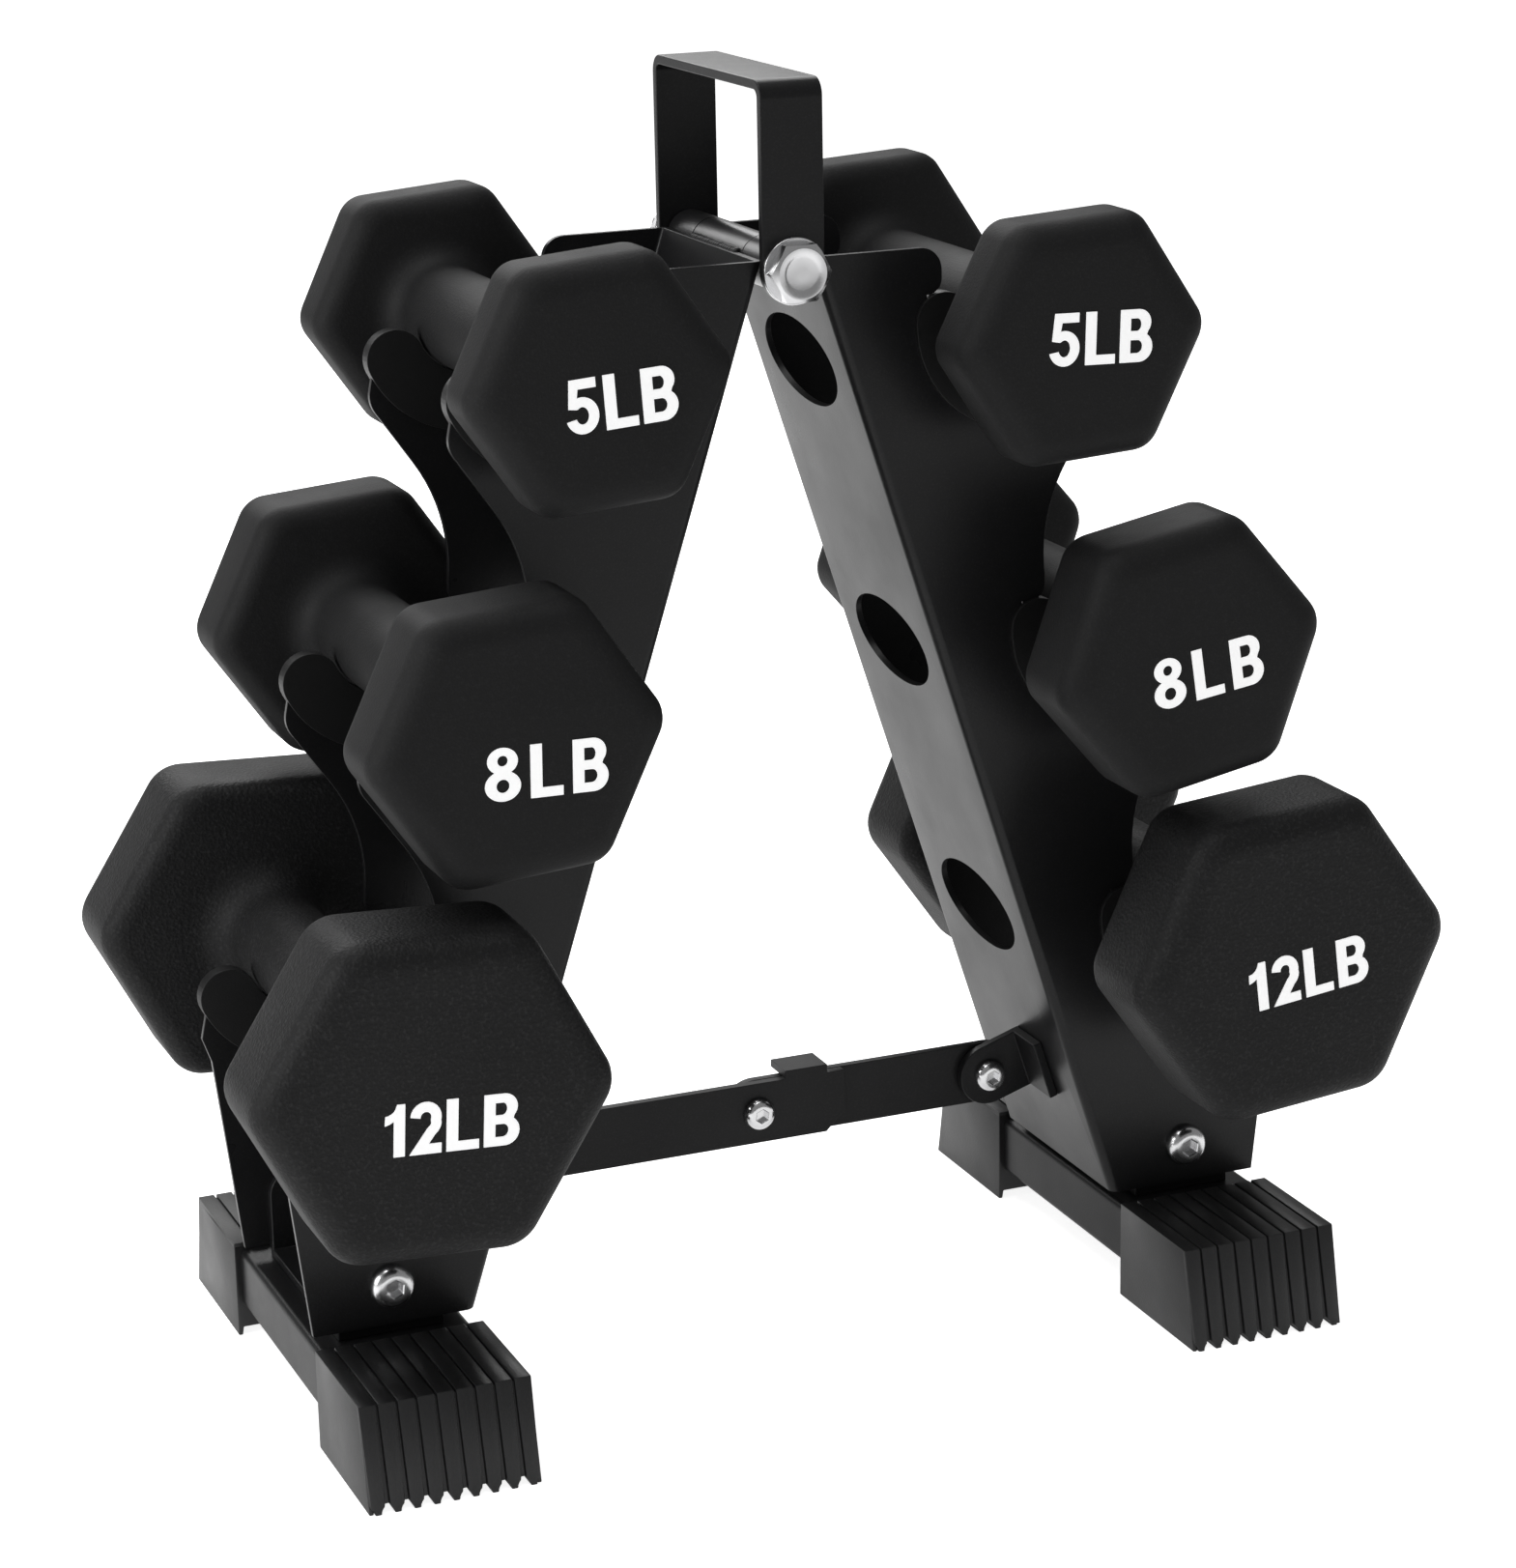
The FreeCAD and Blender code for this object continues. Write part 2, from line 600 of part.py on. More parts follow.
def build_leg_bolts(side):
    """Button-head bolts through each flange, with their nuts inside the channel."""
    spot = ("foot_x", "leg_bolt_z")
    face = "leg_width / 2"
    inner = "leg_width / 2 - sheet - bracket_sheet"
    bolts = new_body(side + "_leg_bolts", side, compound=True)
    out = "%s + leg_bolt_head" % face
    slab(bolts, "head_front", "Pad", "-(%s)" % out, "-(%s)" % face, circles=[(spot, "leg_bolt_head_radius")])
    slab(bolts, "head_rear", "Pad", face, out, circles=[(spot, "leg_bolt_head_radius")])
    round_edges(bolts, "domes", "leg_bolt_head - dome_land", rim_at_y(["-(%s)" % out, out]))
    slab(bolts, "shank_front", "Pad", "-(%s)" % face, "leg_bolt_tail - (%s)" % inner, circles=[(spot, "leg_bolt_radius")])
    slab(bolts, "shank_rear", "Pad", "(%s) - leg_bolt_tail" % inner, face, circles=[(spot, "leg_bolt_radius")])
    keys = [hex_loop("foot_x", "leg_bolt_z", "leg_bolt_key / 2")]
    slab(bolts, "key_front", "Pocket", "-(%s)" % out, "leg_bolt_key_depth - (%s)" % out, keys)
    slab(bolts, "key_rear", "Pocket", "%s - leg_bolt_key_depth" % out, out, keys)
    nuts = new_body(side + "_leg_nuts", side, compound=True)
    ring = [hex_loop("foot_x", "leg_bolt_z", "leg_nut_flats / 2")]
    slab(nuts, "nut_front", "Pad", "-(%s)" % inner, "leg_nut - (%s)" % inner, ring)
    slab(nuts, "nut_rear", "Pad", "(%s) - leg_nut" % inner, inner, ring)
    slab(nuts, "threads", "Pocket", "-leg_width", "leg_width", circles=[(spot, "leg_bolt_radius")])


def build_tab(side):
    """The small bracket on the web that a stretcher bar turns on, with its bolt and nut."""
    tab = new_body(side + "_stay_tab", side)
    near, far = "-layer", "-(layer + tab_sheet)"
    nose = ("stay_x", "stay_z")
    down = "stay_x * sa + (pivot_z - stay_z) * ca"
    out = "stay_x * ca - (pivot_z - stay_z) * sa"
    half = "stay_half_height"
    arm = [on_leg(down + " - " + half, "web_gap"), on_leg(down + " - " + half, out)]
    arm += [on_leg(down + " + " + half, out), on_leg(down + " + " + half, "web_gap")]
    slab(tab, "arm", "Pad", far, near, [arm], [])
    slab(tab, "nose", "Pad", far, near, circles=[(nose, half)])
    base = [on_leg(down + " - " + half, "web_gap - tab_sheet"), on_leg(down + " + " + half, "web_gap - tab_sheet")]
    base += [on_leg(down + " + " + half, "web_gap"), on_leg(down + " - " + half, "web_gap")]
    slab(tab, "base", "Pad", "%s - tab_base" % far, near, [base])
    slab(tab, "hole", "Pocket", "-leg_width", "leg_width", circles=[(nose, "stay_pin_radius")])
    pin = new_body(side + "_stay_bolt", side)
    face = "layer + tab_sheet"
    top = "%s + stay_head" % face
    slab(pin, "head", "Pad", "-(%s)" % top, "-(%s)" % face, circles=[(nose, "stay_head_radius")])
    round_edges(pin, "dome", "stay_head - dome_land", rim_at_y(["-(%s)" % top]))
    slab(pin, "shank", "Pad", "-(%s)" % face, "layer + stay_sheet + stay_tail_out", circles=[(nose, "stay_pin_radius")])
    key = [hex_loop("stay_x", "stay_z", "stay_key / 2")]
    slab(pin, "key", "Pocket", "-(%s)" % top, "stay_key_depth - (%s)" % top, key)
    nut = new_body(side + "_stay_nut", side)
    low = "layer + stay_sheet + stay_nut_gap"
    slab(nut, "nut", "Pad", low, low + " + stay_nut", [hex_loop("stay_x", "stay_z", "stay_nut_flats / 2")])
    slab(nut, "thread", "Pocket", "-leg_width", "leg_width", circles=[(nose, "stay_pin_radius")])


def build_stay(side):
    """One stretcher bar; drawn on the right, the left one turned half a turn carries the lip."""
    body = new_body(side + "_stay_bar", side)
    low, high = "layer", "layer + stay_sheet"
    half = "stay_half_height"
    z0, z1 = "stay_z - " + half, "stay_z + " + half
    if side == "left":
        tail = [("stay_x", z0), ("stay_x", z1), ("-lip_end - lip_margin", z1)]
        tail += [("-stay_tail", z1 + " - tail_cut_top"), ("-stay_tail", z0 + " + tail_cut_low")]
        tail += [("tail_cut_low - stay_tail", z0)]
        slab(body, "bar", "Pad", low, high, [tail])
        riser = box_loop("-lip_end", "-lip_start", z1 + " - lip_bury", z1 + " + lip_gap + lip_sheet")
        slab(body, "riser", "Pad", low, high, [riser])
        flap = box_loop("-lip_end", "-lip_start", z1 + " + lip_gap", z1 + " + lip_gap + lip_sheet")
        slab(body, "flap", "Pad", "-lip_reach", high, [flap])
    else:
        slab(body, "bar", "Pad", low, high, [box_loop("0", "stay_x", z0, z1)])
        slab(body, "inner_end", "Pad", low, high, circles=[(("0", "stay_z"), half)])
    slab(body, "outer_end", "Pad", low, high, circles=[(("stay_x", "stay_z"), half)])
    outer = [(("stay_x", "stay_z"), "stay_pin_radius + running_gap")]
    slab(body, "outer_hole", "Pocket", "-leg_width", "leg_width", circles=outer)
    middle = [(("0", "stay_z"), "stay_pin_radius")]
    slab(body, "middle_hole", "Pocket", "-leg_width", "leg_width", circles=middle)


def build_middle_bolt():
    """The stretcher's middle bolt, in two halves because the linkage is opened there."""
    spot = ("0", "stay_z")
    face = "layer + stay_sheet"
    top = "%s + stay_head" % face
    bolt = new_body("middle_bolt")
    slab(bolt, "head", "Pad", "-(%s)" % top, "-(%s)" % face, circles=[(spot, "stay_head_radius")])
    round_edges(bolt, "dome", "stay_head - dome_land", rim_at_y(["-(%s)" % top]))
    slab(bolt, "shank", "Pad", "-(%s)" % face, "-layer", circles=[(spot, "stay_pin_radius")])
    slab(bolt, "key", "Pocket", "-(%s)" % top, "stay_key_depth - (%s)" % top,
         [hex_loop("0", "stay_z", "stay_key / 2")])
    nut = new_body("middle_nut")
    slab(nut, "nut", "Pad", face, face + " + stay_nut", [hex_loop("0", "stay_z", "stay_nut_flats / 2")])
    slab(nut, "stub", "Pad", "layer", face + " + stay_tail_out", circles=[(spot, "stay_pin_radius")])


def build_handle():
    strap = new_body("carry_handle")
    inner = "strap_half - strap_sheet"
    foot = "pivot_z - strap_width / 2"
    a, b = "-strap_width / 2", "strap_width / 2"
    bar(strap, "block", "Pad", a, b, [box_loop("-strap_half", "strap_half", foot, "strap_top_z")])
    tops = [("-strap_half", "strap_top_z"), ("strap_half", "strap_top_z")]
    round_edges(strap, "outer_bends", "strap_corner", along_x_at(tops))
    hollow = box_loop("-(%s)" % inner, inner, foot + " - strap_sheet", "strap_top_z - strap_sheet")
    bar(strap, "hollow", "Pocket", "-strap_width", "strap_width", [hollow])
    inner_tops = [("-(%s)" % inner, "strap_top_z - strap_sheet"), (inner, "strap_top_z - strap_sheet")]
    round_edges(strap, "inner_bends", "strap_corner - strap_sheet", along_x_at(inner_tops))
    round_edges(strap, "rounded_ends", "strap_width / 2 - 0.05", along_y_at([(a, foot), (b, foot)]))
    hole = [(("0", "pivot_z"), "pivot_radius + running_gap")]
    slab(strap, "holes", "Pocket", "-leg_width", "leg_width", circles=hole)


def along_x_at(spots):
    """Accepts straight edges along X that pass through one of the Y, Z spots."""
    places = [(num(y), num(z)) for y, z in spots]

    def wanted(edge):
        middle, box = edge.CenterOfMass, edge.BoundBox
        straight = box.XLength > 1.0 and box.YLength < 0.01 and box.ZLength < 0.01
        return straight and any(abs(middle.y - y) < 0.1 and abs(middle.z - z) < 0.1 for y, z in places)

    return wanted


def build_pivot():
    """Hex bolt, two washers and a lock nut through the handle and the hinge barrel."""
    spot = ("0", "pivot_z")
    out = "strap_half + washer_sheet"
    washers = new_body("pivot_washers", compound=True)
    slab(washers, "front", "Pad", "-(%s)" % out, "-strap_half", circles=[(spot, "washer_radius")])
    slab(washers, "rear", "Pad", "strap_half", out, circles=[(spot, "washer_radius")])
    slab(washers, "holes", "Pocket", "-leg_width", "leg_width", circles=[(spot, "pivot_radius + running_gap")])
    bolt = new_body("pivot_bolt")
    slab(bolt, "head", "Pad", "-(%s + hex_head)" % out, "-(%s)" % out, [hex_loop("0", "pivot_z", "hex_flats / 2")])
    slab(bolt, "shank", "Pad", "-(%s)" % out, "%s + hex_nut + bolt_tail" % out, circles=[(spot, "pivot_radius")])
    nut = new_body("pivot_nut")
    slab(nut, "hexagon", "Pad", out, "%s + hex_nut - nut_collar" % out, [hex_loop("0", "pivot_z", "hex_flats / 2")])
    slab(nut, "collar", "Pad", out, "%s + hex_nut" % out, circles=[(spot, "hex_flats / 2 - collar_step")])
    slab(nut, "thread", "Pocket", "-leg_width", "leg_width", circles=[(spot, "pivot_radius")])


def head_pair(body, size, spot, turn, shrink):
    """Both six-sided heads and the grip of a dumbbell, all smaller by shrink."""
    flat = "flat%s - %s" % (size, shrink)
    far = "half%s - %s" % (size, shrink)
    near = "half%s - head%s + %s" % (size, size, shrink)
    loop = [hex_loop(spot[0], spot[1], flat, turn)]
    slab(body, "front_head", "Pad", "-(%s)" % far, "-(%s)" % near, loop)
    slab(body, "rear_head", "Pad", near, far, loop)
    corners = along_y_at(loop[0])
    round_edges(body, "corners", "head_round - %s" % shrink, corners)
    rims = ["-(%s)" % far, far, "-(%s)" % near, near]
    round_edges(body, "rims", "head_round - rim_ease - %s" % shrink, rim_at_y(rims))
    grip = [(spot, "grip_radius - " + shrink)]
    slab(body, "grip", "Pad", "grip_bury - (%s)" % far, "(%s) - grip_bury" % far, circles=grip)


def build_dumbbell(side, size, tier, turn):
    """An iron core and the coat moulded over it, resting in one tier of saddles."""
    name = "%s_%s" % (side, size)
    spot = beside(saddle(tier), "0", "-rest_drop")
    core = new_body(name + "_core", side, compound=True)
    head_pair(core, size, spot, turn, "coat")
    outer = new_body(name + "_coat_blank", side, compound=True)
    head_pair(outer, size, spot, turn, "0")
    coat = doc.addObject("Part::Cut", name + "_coat")
    coat.Label = name + "_coat"
    coat.Base = outer
    coat.Tool = core
    return coat


def build_all():
    fill_sheet()
    build_handle()
    build_pivot()
    build_middle_bolt()
    turns = {"left": ("-4.6", "-4.4", "2.7"), "right": ("3.4", "10.5", "5.3")}
    for side in ("left", "right"):
        leg = build_leg(side)
        build_liners(side, leg)
        build_knuckles(side)
        build_foot(side)
        build_tab(side)
        build_stay(side)
        for tier, size in enumerate(("5", "8", "12")):
            build_dumbbell(side, size, tier, turns[side][tier])
    doc.recompute()


def is_node(obj):
    if obj.TypeId not in ("PartDesign::Body", "Part::Cut"):
        return False
    return not obj.Label.endswith(("_blank", "_blanks"))


def check(obj):
    """Stops the run if an object has failed or holds no valid solid."""
    bad = [s for s in obj.State if s in ("Invalid", "Error")]
    if bad:
        raise RuntimeError("%s: %s" % (obj.Label, bad))
    if obj.TypeId in ("PartDesign::Body", "Part::Cut"):
        if obj.Shape.isNull() or not obj.Shape.isValid() or not obj.Shape.Solids:
            raise RuntimeError(obj.Label + " has no valid solid")


def write_parts():
    os.makedirs("parts", exist_ok=True)
    for obj in doc.Objects:
        check(obj)
    for obj in filter(is_node, doc.Objects):
        obj.Shape.exportStep("parts/%s.step" % obj.Label)


build_all()
write_parts()
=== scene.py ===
import json
import math

import bmesh
import bpy
from mathutils import Matrix, Vector

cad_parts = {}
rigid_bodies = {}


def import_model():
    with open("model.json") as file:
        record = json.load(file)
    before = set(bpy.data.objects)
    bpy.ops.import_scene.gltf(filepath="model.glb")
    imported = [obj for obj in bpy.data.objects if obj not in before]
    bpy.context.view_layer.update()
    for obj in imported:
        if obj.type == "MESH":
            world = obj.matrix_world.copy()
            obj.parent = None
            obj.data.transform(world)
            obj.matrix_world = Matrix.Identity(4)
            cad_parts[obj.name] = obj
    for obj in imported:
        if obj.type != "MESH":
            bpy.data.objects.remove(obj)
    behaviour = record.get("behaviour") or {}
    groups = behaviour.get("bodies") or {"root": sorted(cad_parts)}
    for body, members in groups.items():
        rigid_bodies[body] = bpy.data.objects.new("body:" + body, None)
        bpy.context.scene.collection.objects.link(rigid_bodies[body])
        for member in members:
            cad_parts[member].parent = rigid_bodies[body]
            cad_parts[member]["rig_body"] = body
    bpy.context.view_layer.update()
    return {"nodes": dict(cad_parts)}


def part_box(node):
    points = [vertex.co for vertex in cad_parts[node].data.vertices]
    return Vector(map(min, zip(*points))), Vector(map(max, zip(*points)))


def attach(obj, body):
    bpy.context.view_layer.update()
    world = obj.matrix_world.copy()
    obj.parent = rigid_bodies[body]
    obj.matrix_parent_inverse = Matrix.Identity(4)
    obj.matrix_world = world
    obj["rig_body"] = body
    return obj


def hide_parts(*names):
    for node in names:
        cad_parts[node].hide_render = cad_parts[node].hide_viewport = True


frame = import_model()

bl_info = {
    "name": "Folding dumbbell rack",
    "version": (1, 0, 0),
    "blender": (4, 5, 0),
    "location": "3D View > Sidebar > Rack",
    "description": "Finishes a folding dumbbell rack: coated steel, padded hooks, rubber feet and moulded weights",
    "category": "Object",
}

MM = 0.001
SIDES = ("left", "right")


# ---------------------------------------------------------------- settings

class RackColours(bpy.types.PropertyGroup):
    """Colours of the rack's finishes."""
    powder: bpy.props.FloatVectorProperty(
        name="Powder coat", description="Colour of the coated steel", subtype="COLOR", default=(0.0085, 0.0085, 0.009))
    rubber: bpy.props.FloatVectorProperty(
        name="Cap rubber", description="Colour of the foot caps", subtype="COLOR", default=(0.010, 0.010, 0.0105))
    pad: bpy.props.FloatVectorProperty(
        name="Hook pads", description="Colour of the moulded hook pads", subtype="COLOR",
        default=(0.007, 0.007, 0.0072))
    coat: bpy.props.FloatVectorProperty(
        name="Weight coat", description="Colour of the coat on the dumbbells", subtype="COLOR",
        default=(0.0105, 0.0105, 0.0108))
    zinc: bpy.props.FloatVectorProperty(
        name="Bright zinc", description="Colour of the plated fasteners", subtype="COLOR", default=(0.82, 0.82, 0.83))
    mark: bpy.props.FloatVectorProperty(
        name="Marks", description="Paint of the weight marks", subtype="COLOR", default=(0.93, 0.93, 0.93))


class SheetSettings(bpy.types.PropertyGroup):
    """Edge softening of the metal and plastic parts."""
    steel_edge: bpy.props.FloatProperty(
        name="Steel edge", description="Rounding that the powder coat leaves on a cut edge",
        default=0.0004, unit="LENGTH")
    pad_edge: bpy.props.FloatProperty(
        name="Pad edge", description="Rounding of the moulded pads", default=0.0008, unit="LENGTH")
    cap_edge: bpy.props.FloatProperty(
        name="Cap edge", description="Rounding of the rubber ribs", default=0.00035, unit="LENGTH")
    rib_count: bpy.props.IntProperty(name="Ribs", description="Ribs on each foot cap", default=9)
    rib_groove: bpy.props.FloatProperty(
        name="Rib groove", description="Gap between two ribs", default=0.0007, unit="LENGTH")
    bead_pitch: bpy.props.FloatProperty(
        name="Weld pitch", description="Distance between the ripples of a weld", default=0.0016, unit="LENGTH")
    zinc_edge: bpy.props.FloatProperty(
        name="Fastener edge", description="Rounding of the plated edges", default=0.00035, unit="LENGTH")


class DumbbellSettings(bpy.types.PropertyGroup):
    """Shape of the moulded coats."""
    rim: bpy.props.FloatProperty(
        name="Rim rounding", description="Rounding of a head's outer rim", default=0.0092, unit="LENGTH")
    corner_share: bpy.props.FloatProperty(
        name="Corner rounding", description="Rounding of a head's six corners, as a share of its half width",
        default=0.25)
    flare_share: bpy.props.FloatProperty(
        name="Grip flare", description="Swell of the grip where it meets a head, as a share of its half width",
        default=0.24)
    mark_height: bpy.props.FloatProperty(
        name="Mark height", description="Height of the weight marks", default=0.0158, unit="LENGTH")
    mark_relief: bpy.props.FloatProperty(
        name="Mark relief", description="Thickness of the painted marks", default=0.0003, unit="LENGTH")


class StageSettings(bpy.types.PropertyGroup):
    """Camera placement."""
    azimuth: bpy.props.FloatProperty(
        name="Azimuth", description="Turn of the camera about the rack", default=math.radians(-22.33), subtype="ANGLE")
    elevation: bpy.props.FloatProperty(
        name="Elevation", description="Height angle of the camera", default=math.radians(16.46), subtype="ANGLE")
    roll: bpy.props.FloatProperty(
        name="Roll", description="Lean of the camera", default=math.radians(-1.07), subtype="ANGLE")
    distance: bpy.props.FloatProperty(
        name="Distance", description="From the camera to what it looks at", default=1.1718, unit="LENGTH")
    lens: bpy.props.FloatProperty(name="Lens", description="Focal length in millimetres", default=92.53)
    aim: bpy.props.FloatVectorProperty(
        name="Aim", description="The spot the camera looks at", default=(-0.0376, -0.0994, 0.2095),
        subtype="TRANSLATION")


# ---------------------------------------------------------------- shader groups

def group_with(name, inputs, outputs):
    """An empty shader group with float inputs and named outputs."""
    tree = bpy.data.node_groups.new(name, "ShaderNodeTree")
    for label, default in inputs:
        socket = tree.interface.new_socket(label, in_out="INPUT", socket_type="NodeSocketFloat")
        socket.default_value = default
    for label in outputs:
        tree.interface.new_socket(label, in_out="OUTPUT", socket_type="NodeSocketFloat")
    return tree, tree.nodes.new("NodeGroupInput"), tree.nodes.new("NodeGroupOutput")


def math_node(tree, operation, a, b=None, clamp=False):
    node = tree.nodes.new("ShaderNodeMath")
    node.operation = operation
    node.use_clamp = clamp
    for slot, value in ((0, a), (1, b)):
        if value is None:
            continue
        if isinstance(value, (int, float)):
            node.inputs[slot].default_value = value
        else:
            tree.links.new(value, node.inputs[slot])
    return node.outputs[0]


def noise_node(tree, scale, detail=3.0, rough=0.5, scale_link=None):
    """A noise on object coordinates."""
    place = tree.nodes.new("ShaderNodeTexCoord")
    node = tree.nodes.new("ShaderNodeTexNoise")
    node.inputs["Scale"].default_value = scale
    node.inputs["Detail"].default_value = detail
    node.inputs["Roughness"].default_value = rough
    tree.links.new(place.outputs["Object"], node.inputs["Vector"])
    if scale_link is not None:
        tree.links.new(scale_link, node.inputs["Scale"])
    return node.outputs["Fac"]


def ramp(tree, value, low, high):
    """Stretches the part of a value between low and high to 0..1."""
    node = tree.nodes.new("ShaderNodeMapRange")
    node.inputs["From Min"].default_value = low
    node.inputs["From Max"].default_value = high
    tree.links.new(value, node.inputs["Value"])
    return node.outputs["Result"]


def build_grain_group():
    """Fine pebble grain: a height and a speckle mask."""
    tree, inside, outside = group_with("Pebble grain", [("Scale", 900.0)], ["Height", "Speckle"])
    place = tree.nodes.new("ShaderNodeTexCoord")
    cells = tree.nodes.new("ShaderNodeTexVoronoi")
    tree.links.new(place.outputs["Object"], cells.inputs["Vector"])
    tree.links.new(inside.outputs["Scale"], cells.inputs["Scale"])
    fine = noise_node(tree, 900.0, 2.0, 0.6, inside.outputs["Scale"])
    height = math_node(tree, "ADD", math_node(tree, "MULTIPLY", cells.outputs["Distance"], 0.6),
                       math_node(tree, "MULTIPLY", fine, 0.7))
    tree.links.new(height, outside.inputs["Height"])
    tree.links.new(ramp(tree, fine, 0.52, 0.7), outside.inputs["Speckle"])
    return tree


def build_dust_group():
    """Faint dust: more on faces that look up, broken by noise."""
    tree, inside, outside = group_with("Settled dust", [("Amount", 0.3)], ["Mask"])
    facing = tree.nodes.new("ShaderNodeNewGeometry")
    parts = tree.nodes.new("ShaderNodeSeparateXYZ")
    tree.links.new(facing.outputs["Normal"], parts.inputs[0])
    up = ramp(tree, parts.outputs["Z"], 0.1, 1.0)
    patchy = ramp(tree, noise_node(tree, 60.0, 6.0, 0.65), 0.35, 0.75)
    mask = math_node(tree, "MULTIPLY", math_node(tree, "MULTIPLY", up, patchy), inside.outputs["Amount"], True)
    tree.links.new(mask, outside.inputs["Mask"])
    return tree


def build_rub_group():
    """Soft handling marks that change the gloss over a few centimetres."""
    tree, inside, outside = group_with("Handling rub", [("Low", 0.4), ("High", 0.5)], ["Roughness"])
    broad = ramp(tree, noise_node(tree, 22.0, 4.0, 0.6), 0.3, 0.7)
    spread = math_node(tree, "SUBTRACT", inside.outputs["High"], inside.outputs["Low"])
    value = math_node(tree, "ADD", math_node(tree, "MULTIPLY", broad, spread), inside.outputs["Low"])
    tree.links.new(value, outside.inputs["Roughness"])
    return tree


# ---------------------------------------------------------------- materials

def use_group(tree, group, **values):
    node = tree.nodes.new("ShaderNodeGroup")
    node.node_tree = group
    for label, value in values.items():
        node.inputs[label].default_value = value
    return node.outputs


def new_finish(name):
    """A node material with its Principled shader."""
    material = bpy.data.materials.new(name)
    material.use_nodes = True
    return material, material.node_tree, material.node_tree.nodes["Principled BSDF"]


def tint(tree, mask, low, high):
    """A colour that goes from low to high with a mask."""
    mix = tree.nodes.new("ShaderNodeMix")
    mix.data_type = "RGBA"
    mix.inputs["A"].default_value = (*low, 1)
    mix.inputs["B"].default_value = (*high, 1)
    tree.links.new(mask, mix.inputs["Factor"])
    return mix.outputs["Result"]


def bump(tree, shader, height, strength, distance):
    node = tree.nodes.new("ShaderNodeBump")
    node.inputs["Strength"].default_value = strength
    node.inputs["Distance"].default_value = distance
    tree.links.new(height, node.inputs["Height"])
    tree.links.new(node.outputs["Normal"], shader.inputs["Normal"])


def brighter(colour, factor, lift=0.0):
    return tuple(min(1.0, c * factor + lift) for c in colour)


def coated_metal(name, colour, groups, low, high, specular, dust):
    """Black powder coat: fine orange peel, faint dust and rub marks between the low and high roughness."""
    material, tree, shader = new_finish(name)
    grain = use_group(tree, groups["grain"], Scale=1500.0)
    film = use_group(tree, groups["dust"], Amount=dust)
    rub = use_group(tree, groups["rub"], Low=low, High=high)
    mask = math_node(tree, "ADD", math_node(tree, "MULTIPLY", grain["Speckle"], 0.10), film["Mask"], True)
    tree.links.new(tint(tree, mask, colour, brighter(colour, 3.0, 0.03)), shader.inputs["Base Color"])
    tree.links.new(rub["Roughness"], shader.inputs["Roughness"])
    shader.inputs["Specular IOR Level"].default_value = specular
    bump(tree, shader, grain["Height"], 0.12, 0.0002)
    return material


def moulded_rubber(name, colour, groups, scale, low, high, relief, dust, specular, speckle):
    """Matt moulded rubber or plastic; scale sets how fine its pebble grain is and relief how deep."""
    material, tree, shader = new_finish(name)
    grain = use_group(tree, groups["grain"], Scale=scale)
    film = use_group(tree, groups["dust"], Amount=dust)
    rub = use_group(tree, groups["rub"], Low=low, High=high)
    mask = math_node(tree, "ADD", math_node(tree, "MULTIPLY", grain["Speckle"], speckle), film["Mask"], True)
    tree.links.new(tint(tree, mask, colour, brighter(colour, 2.5, 0.02)), shader.inputs["Base Color"])
    tree.links.new(rub["Roughness"], shader.inputs["Roughness"])
    shader.inputs["Specular IOR Level"].default_value = specular
    bump(tree, shader, grain["Height"], relief, 0.0003)
    return material


def bright_zinc(name, colour, groups):
    """Plated steel with a faint turned texture."""
    material, tree, shader = new_finish(name)
    rub = use_group(tree, groups["rub"], Low=0.14, High=0.30)
    broad = noise_node(tree, 140.0, 4.0, 0.6)
    tree.links.new(tint(tree, broad, brighter(colour, 0.8), colour), shader.inputs["Base Color"])
    tree.links.new(rub["Roughness"], shader.inputs["Roughness"])
    shader.inputs["Metallic"].default_value = 1.0
    bump(tree, shader, broad, 0.08, 0.0003)
    return material


def mark_paint_with_glow(name, colour, groups):
    """Opaque white paint with a trace of grain, and a faint white glow that paints extra light on the marks."""
    material, tree, shader = new_finish(name)
    grain = use_group(tree, groups["grain"], Scale=1400.0)
    tree.links.new(tint(tree, grain["Speckle"], colour, brighter(colour, 0.93)), shader.inputs["Base Color"])
    shader.inputs["Roughness"].default_value = 0.55
    # Painted light: a faint white glow makes the marks brighter than the studio lamps alone would.
    shader.inputs["Emission Color"].default_value = (1, 1, 1, 1)
    shader.inputs["Emission Strength"].default_value = 0.3
    bump(tree, shader, grain["Height"], 0.1, 0.0002)
    return material


def cast_iron(name, groups):
    """Rough unpainted casting, hidden by the coats."""
    material, tree, shader = new_finish(name)
    grain = use_group(tree, groups["grain"], Scale=500.0)
    tree.links.new(tint(tree, grain["Speckle"], (0.05, 0.05, 0.05), (0.12, 0.11, 0.1)), shader.inputs["Base Color"])
    shader.inputs["Metallic"].default_value = 0.6
    shader.inputs["Roughness"].default_value = 0.6
    bump(tree, shader, grain["Height"], 0.3, 0.0004)
    return material


def finish(name):
    return bpy.data.materials[name]


# ---------------------------------------------------------------- mesh helpers

# Edges that turn more than SHARP_EDGE are rounded; faces that turn less than FLAT_ENOUGH are merged.
SHARP_EDGE = math.radians(30)
FLAT_ENOUGH = math.radians(0.5)
EDGE_SEGMENTS = 2
WELD_DISTANCE = 1e-6


def body_of(node):
    return frame["nodes"][node]["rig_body"]


def link_object(name, mesh):
    item = bpy.data.objects.new(name, mesh)
    bpy.context.scene.collection.objects.link(item)
    return item


def mesh_from_bmesh(name, bm, smooth_angle=40.0):
    bmesh.ops.recalc_face_normals(bm, faces=bm.faces)
    mesh = bpy.data.meshes.new(name)
    bm.to_mesh(mesh)
    bm.free()
    mesh.shade_smooth()
    mesh.set_sharp_from_angle(angle=math.radians(smooth_angle))
    return mesh


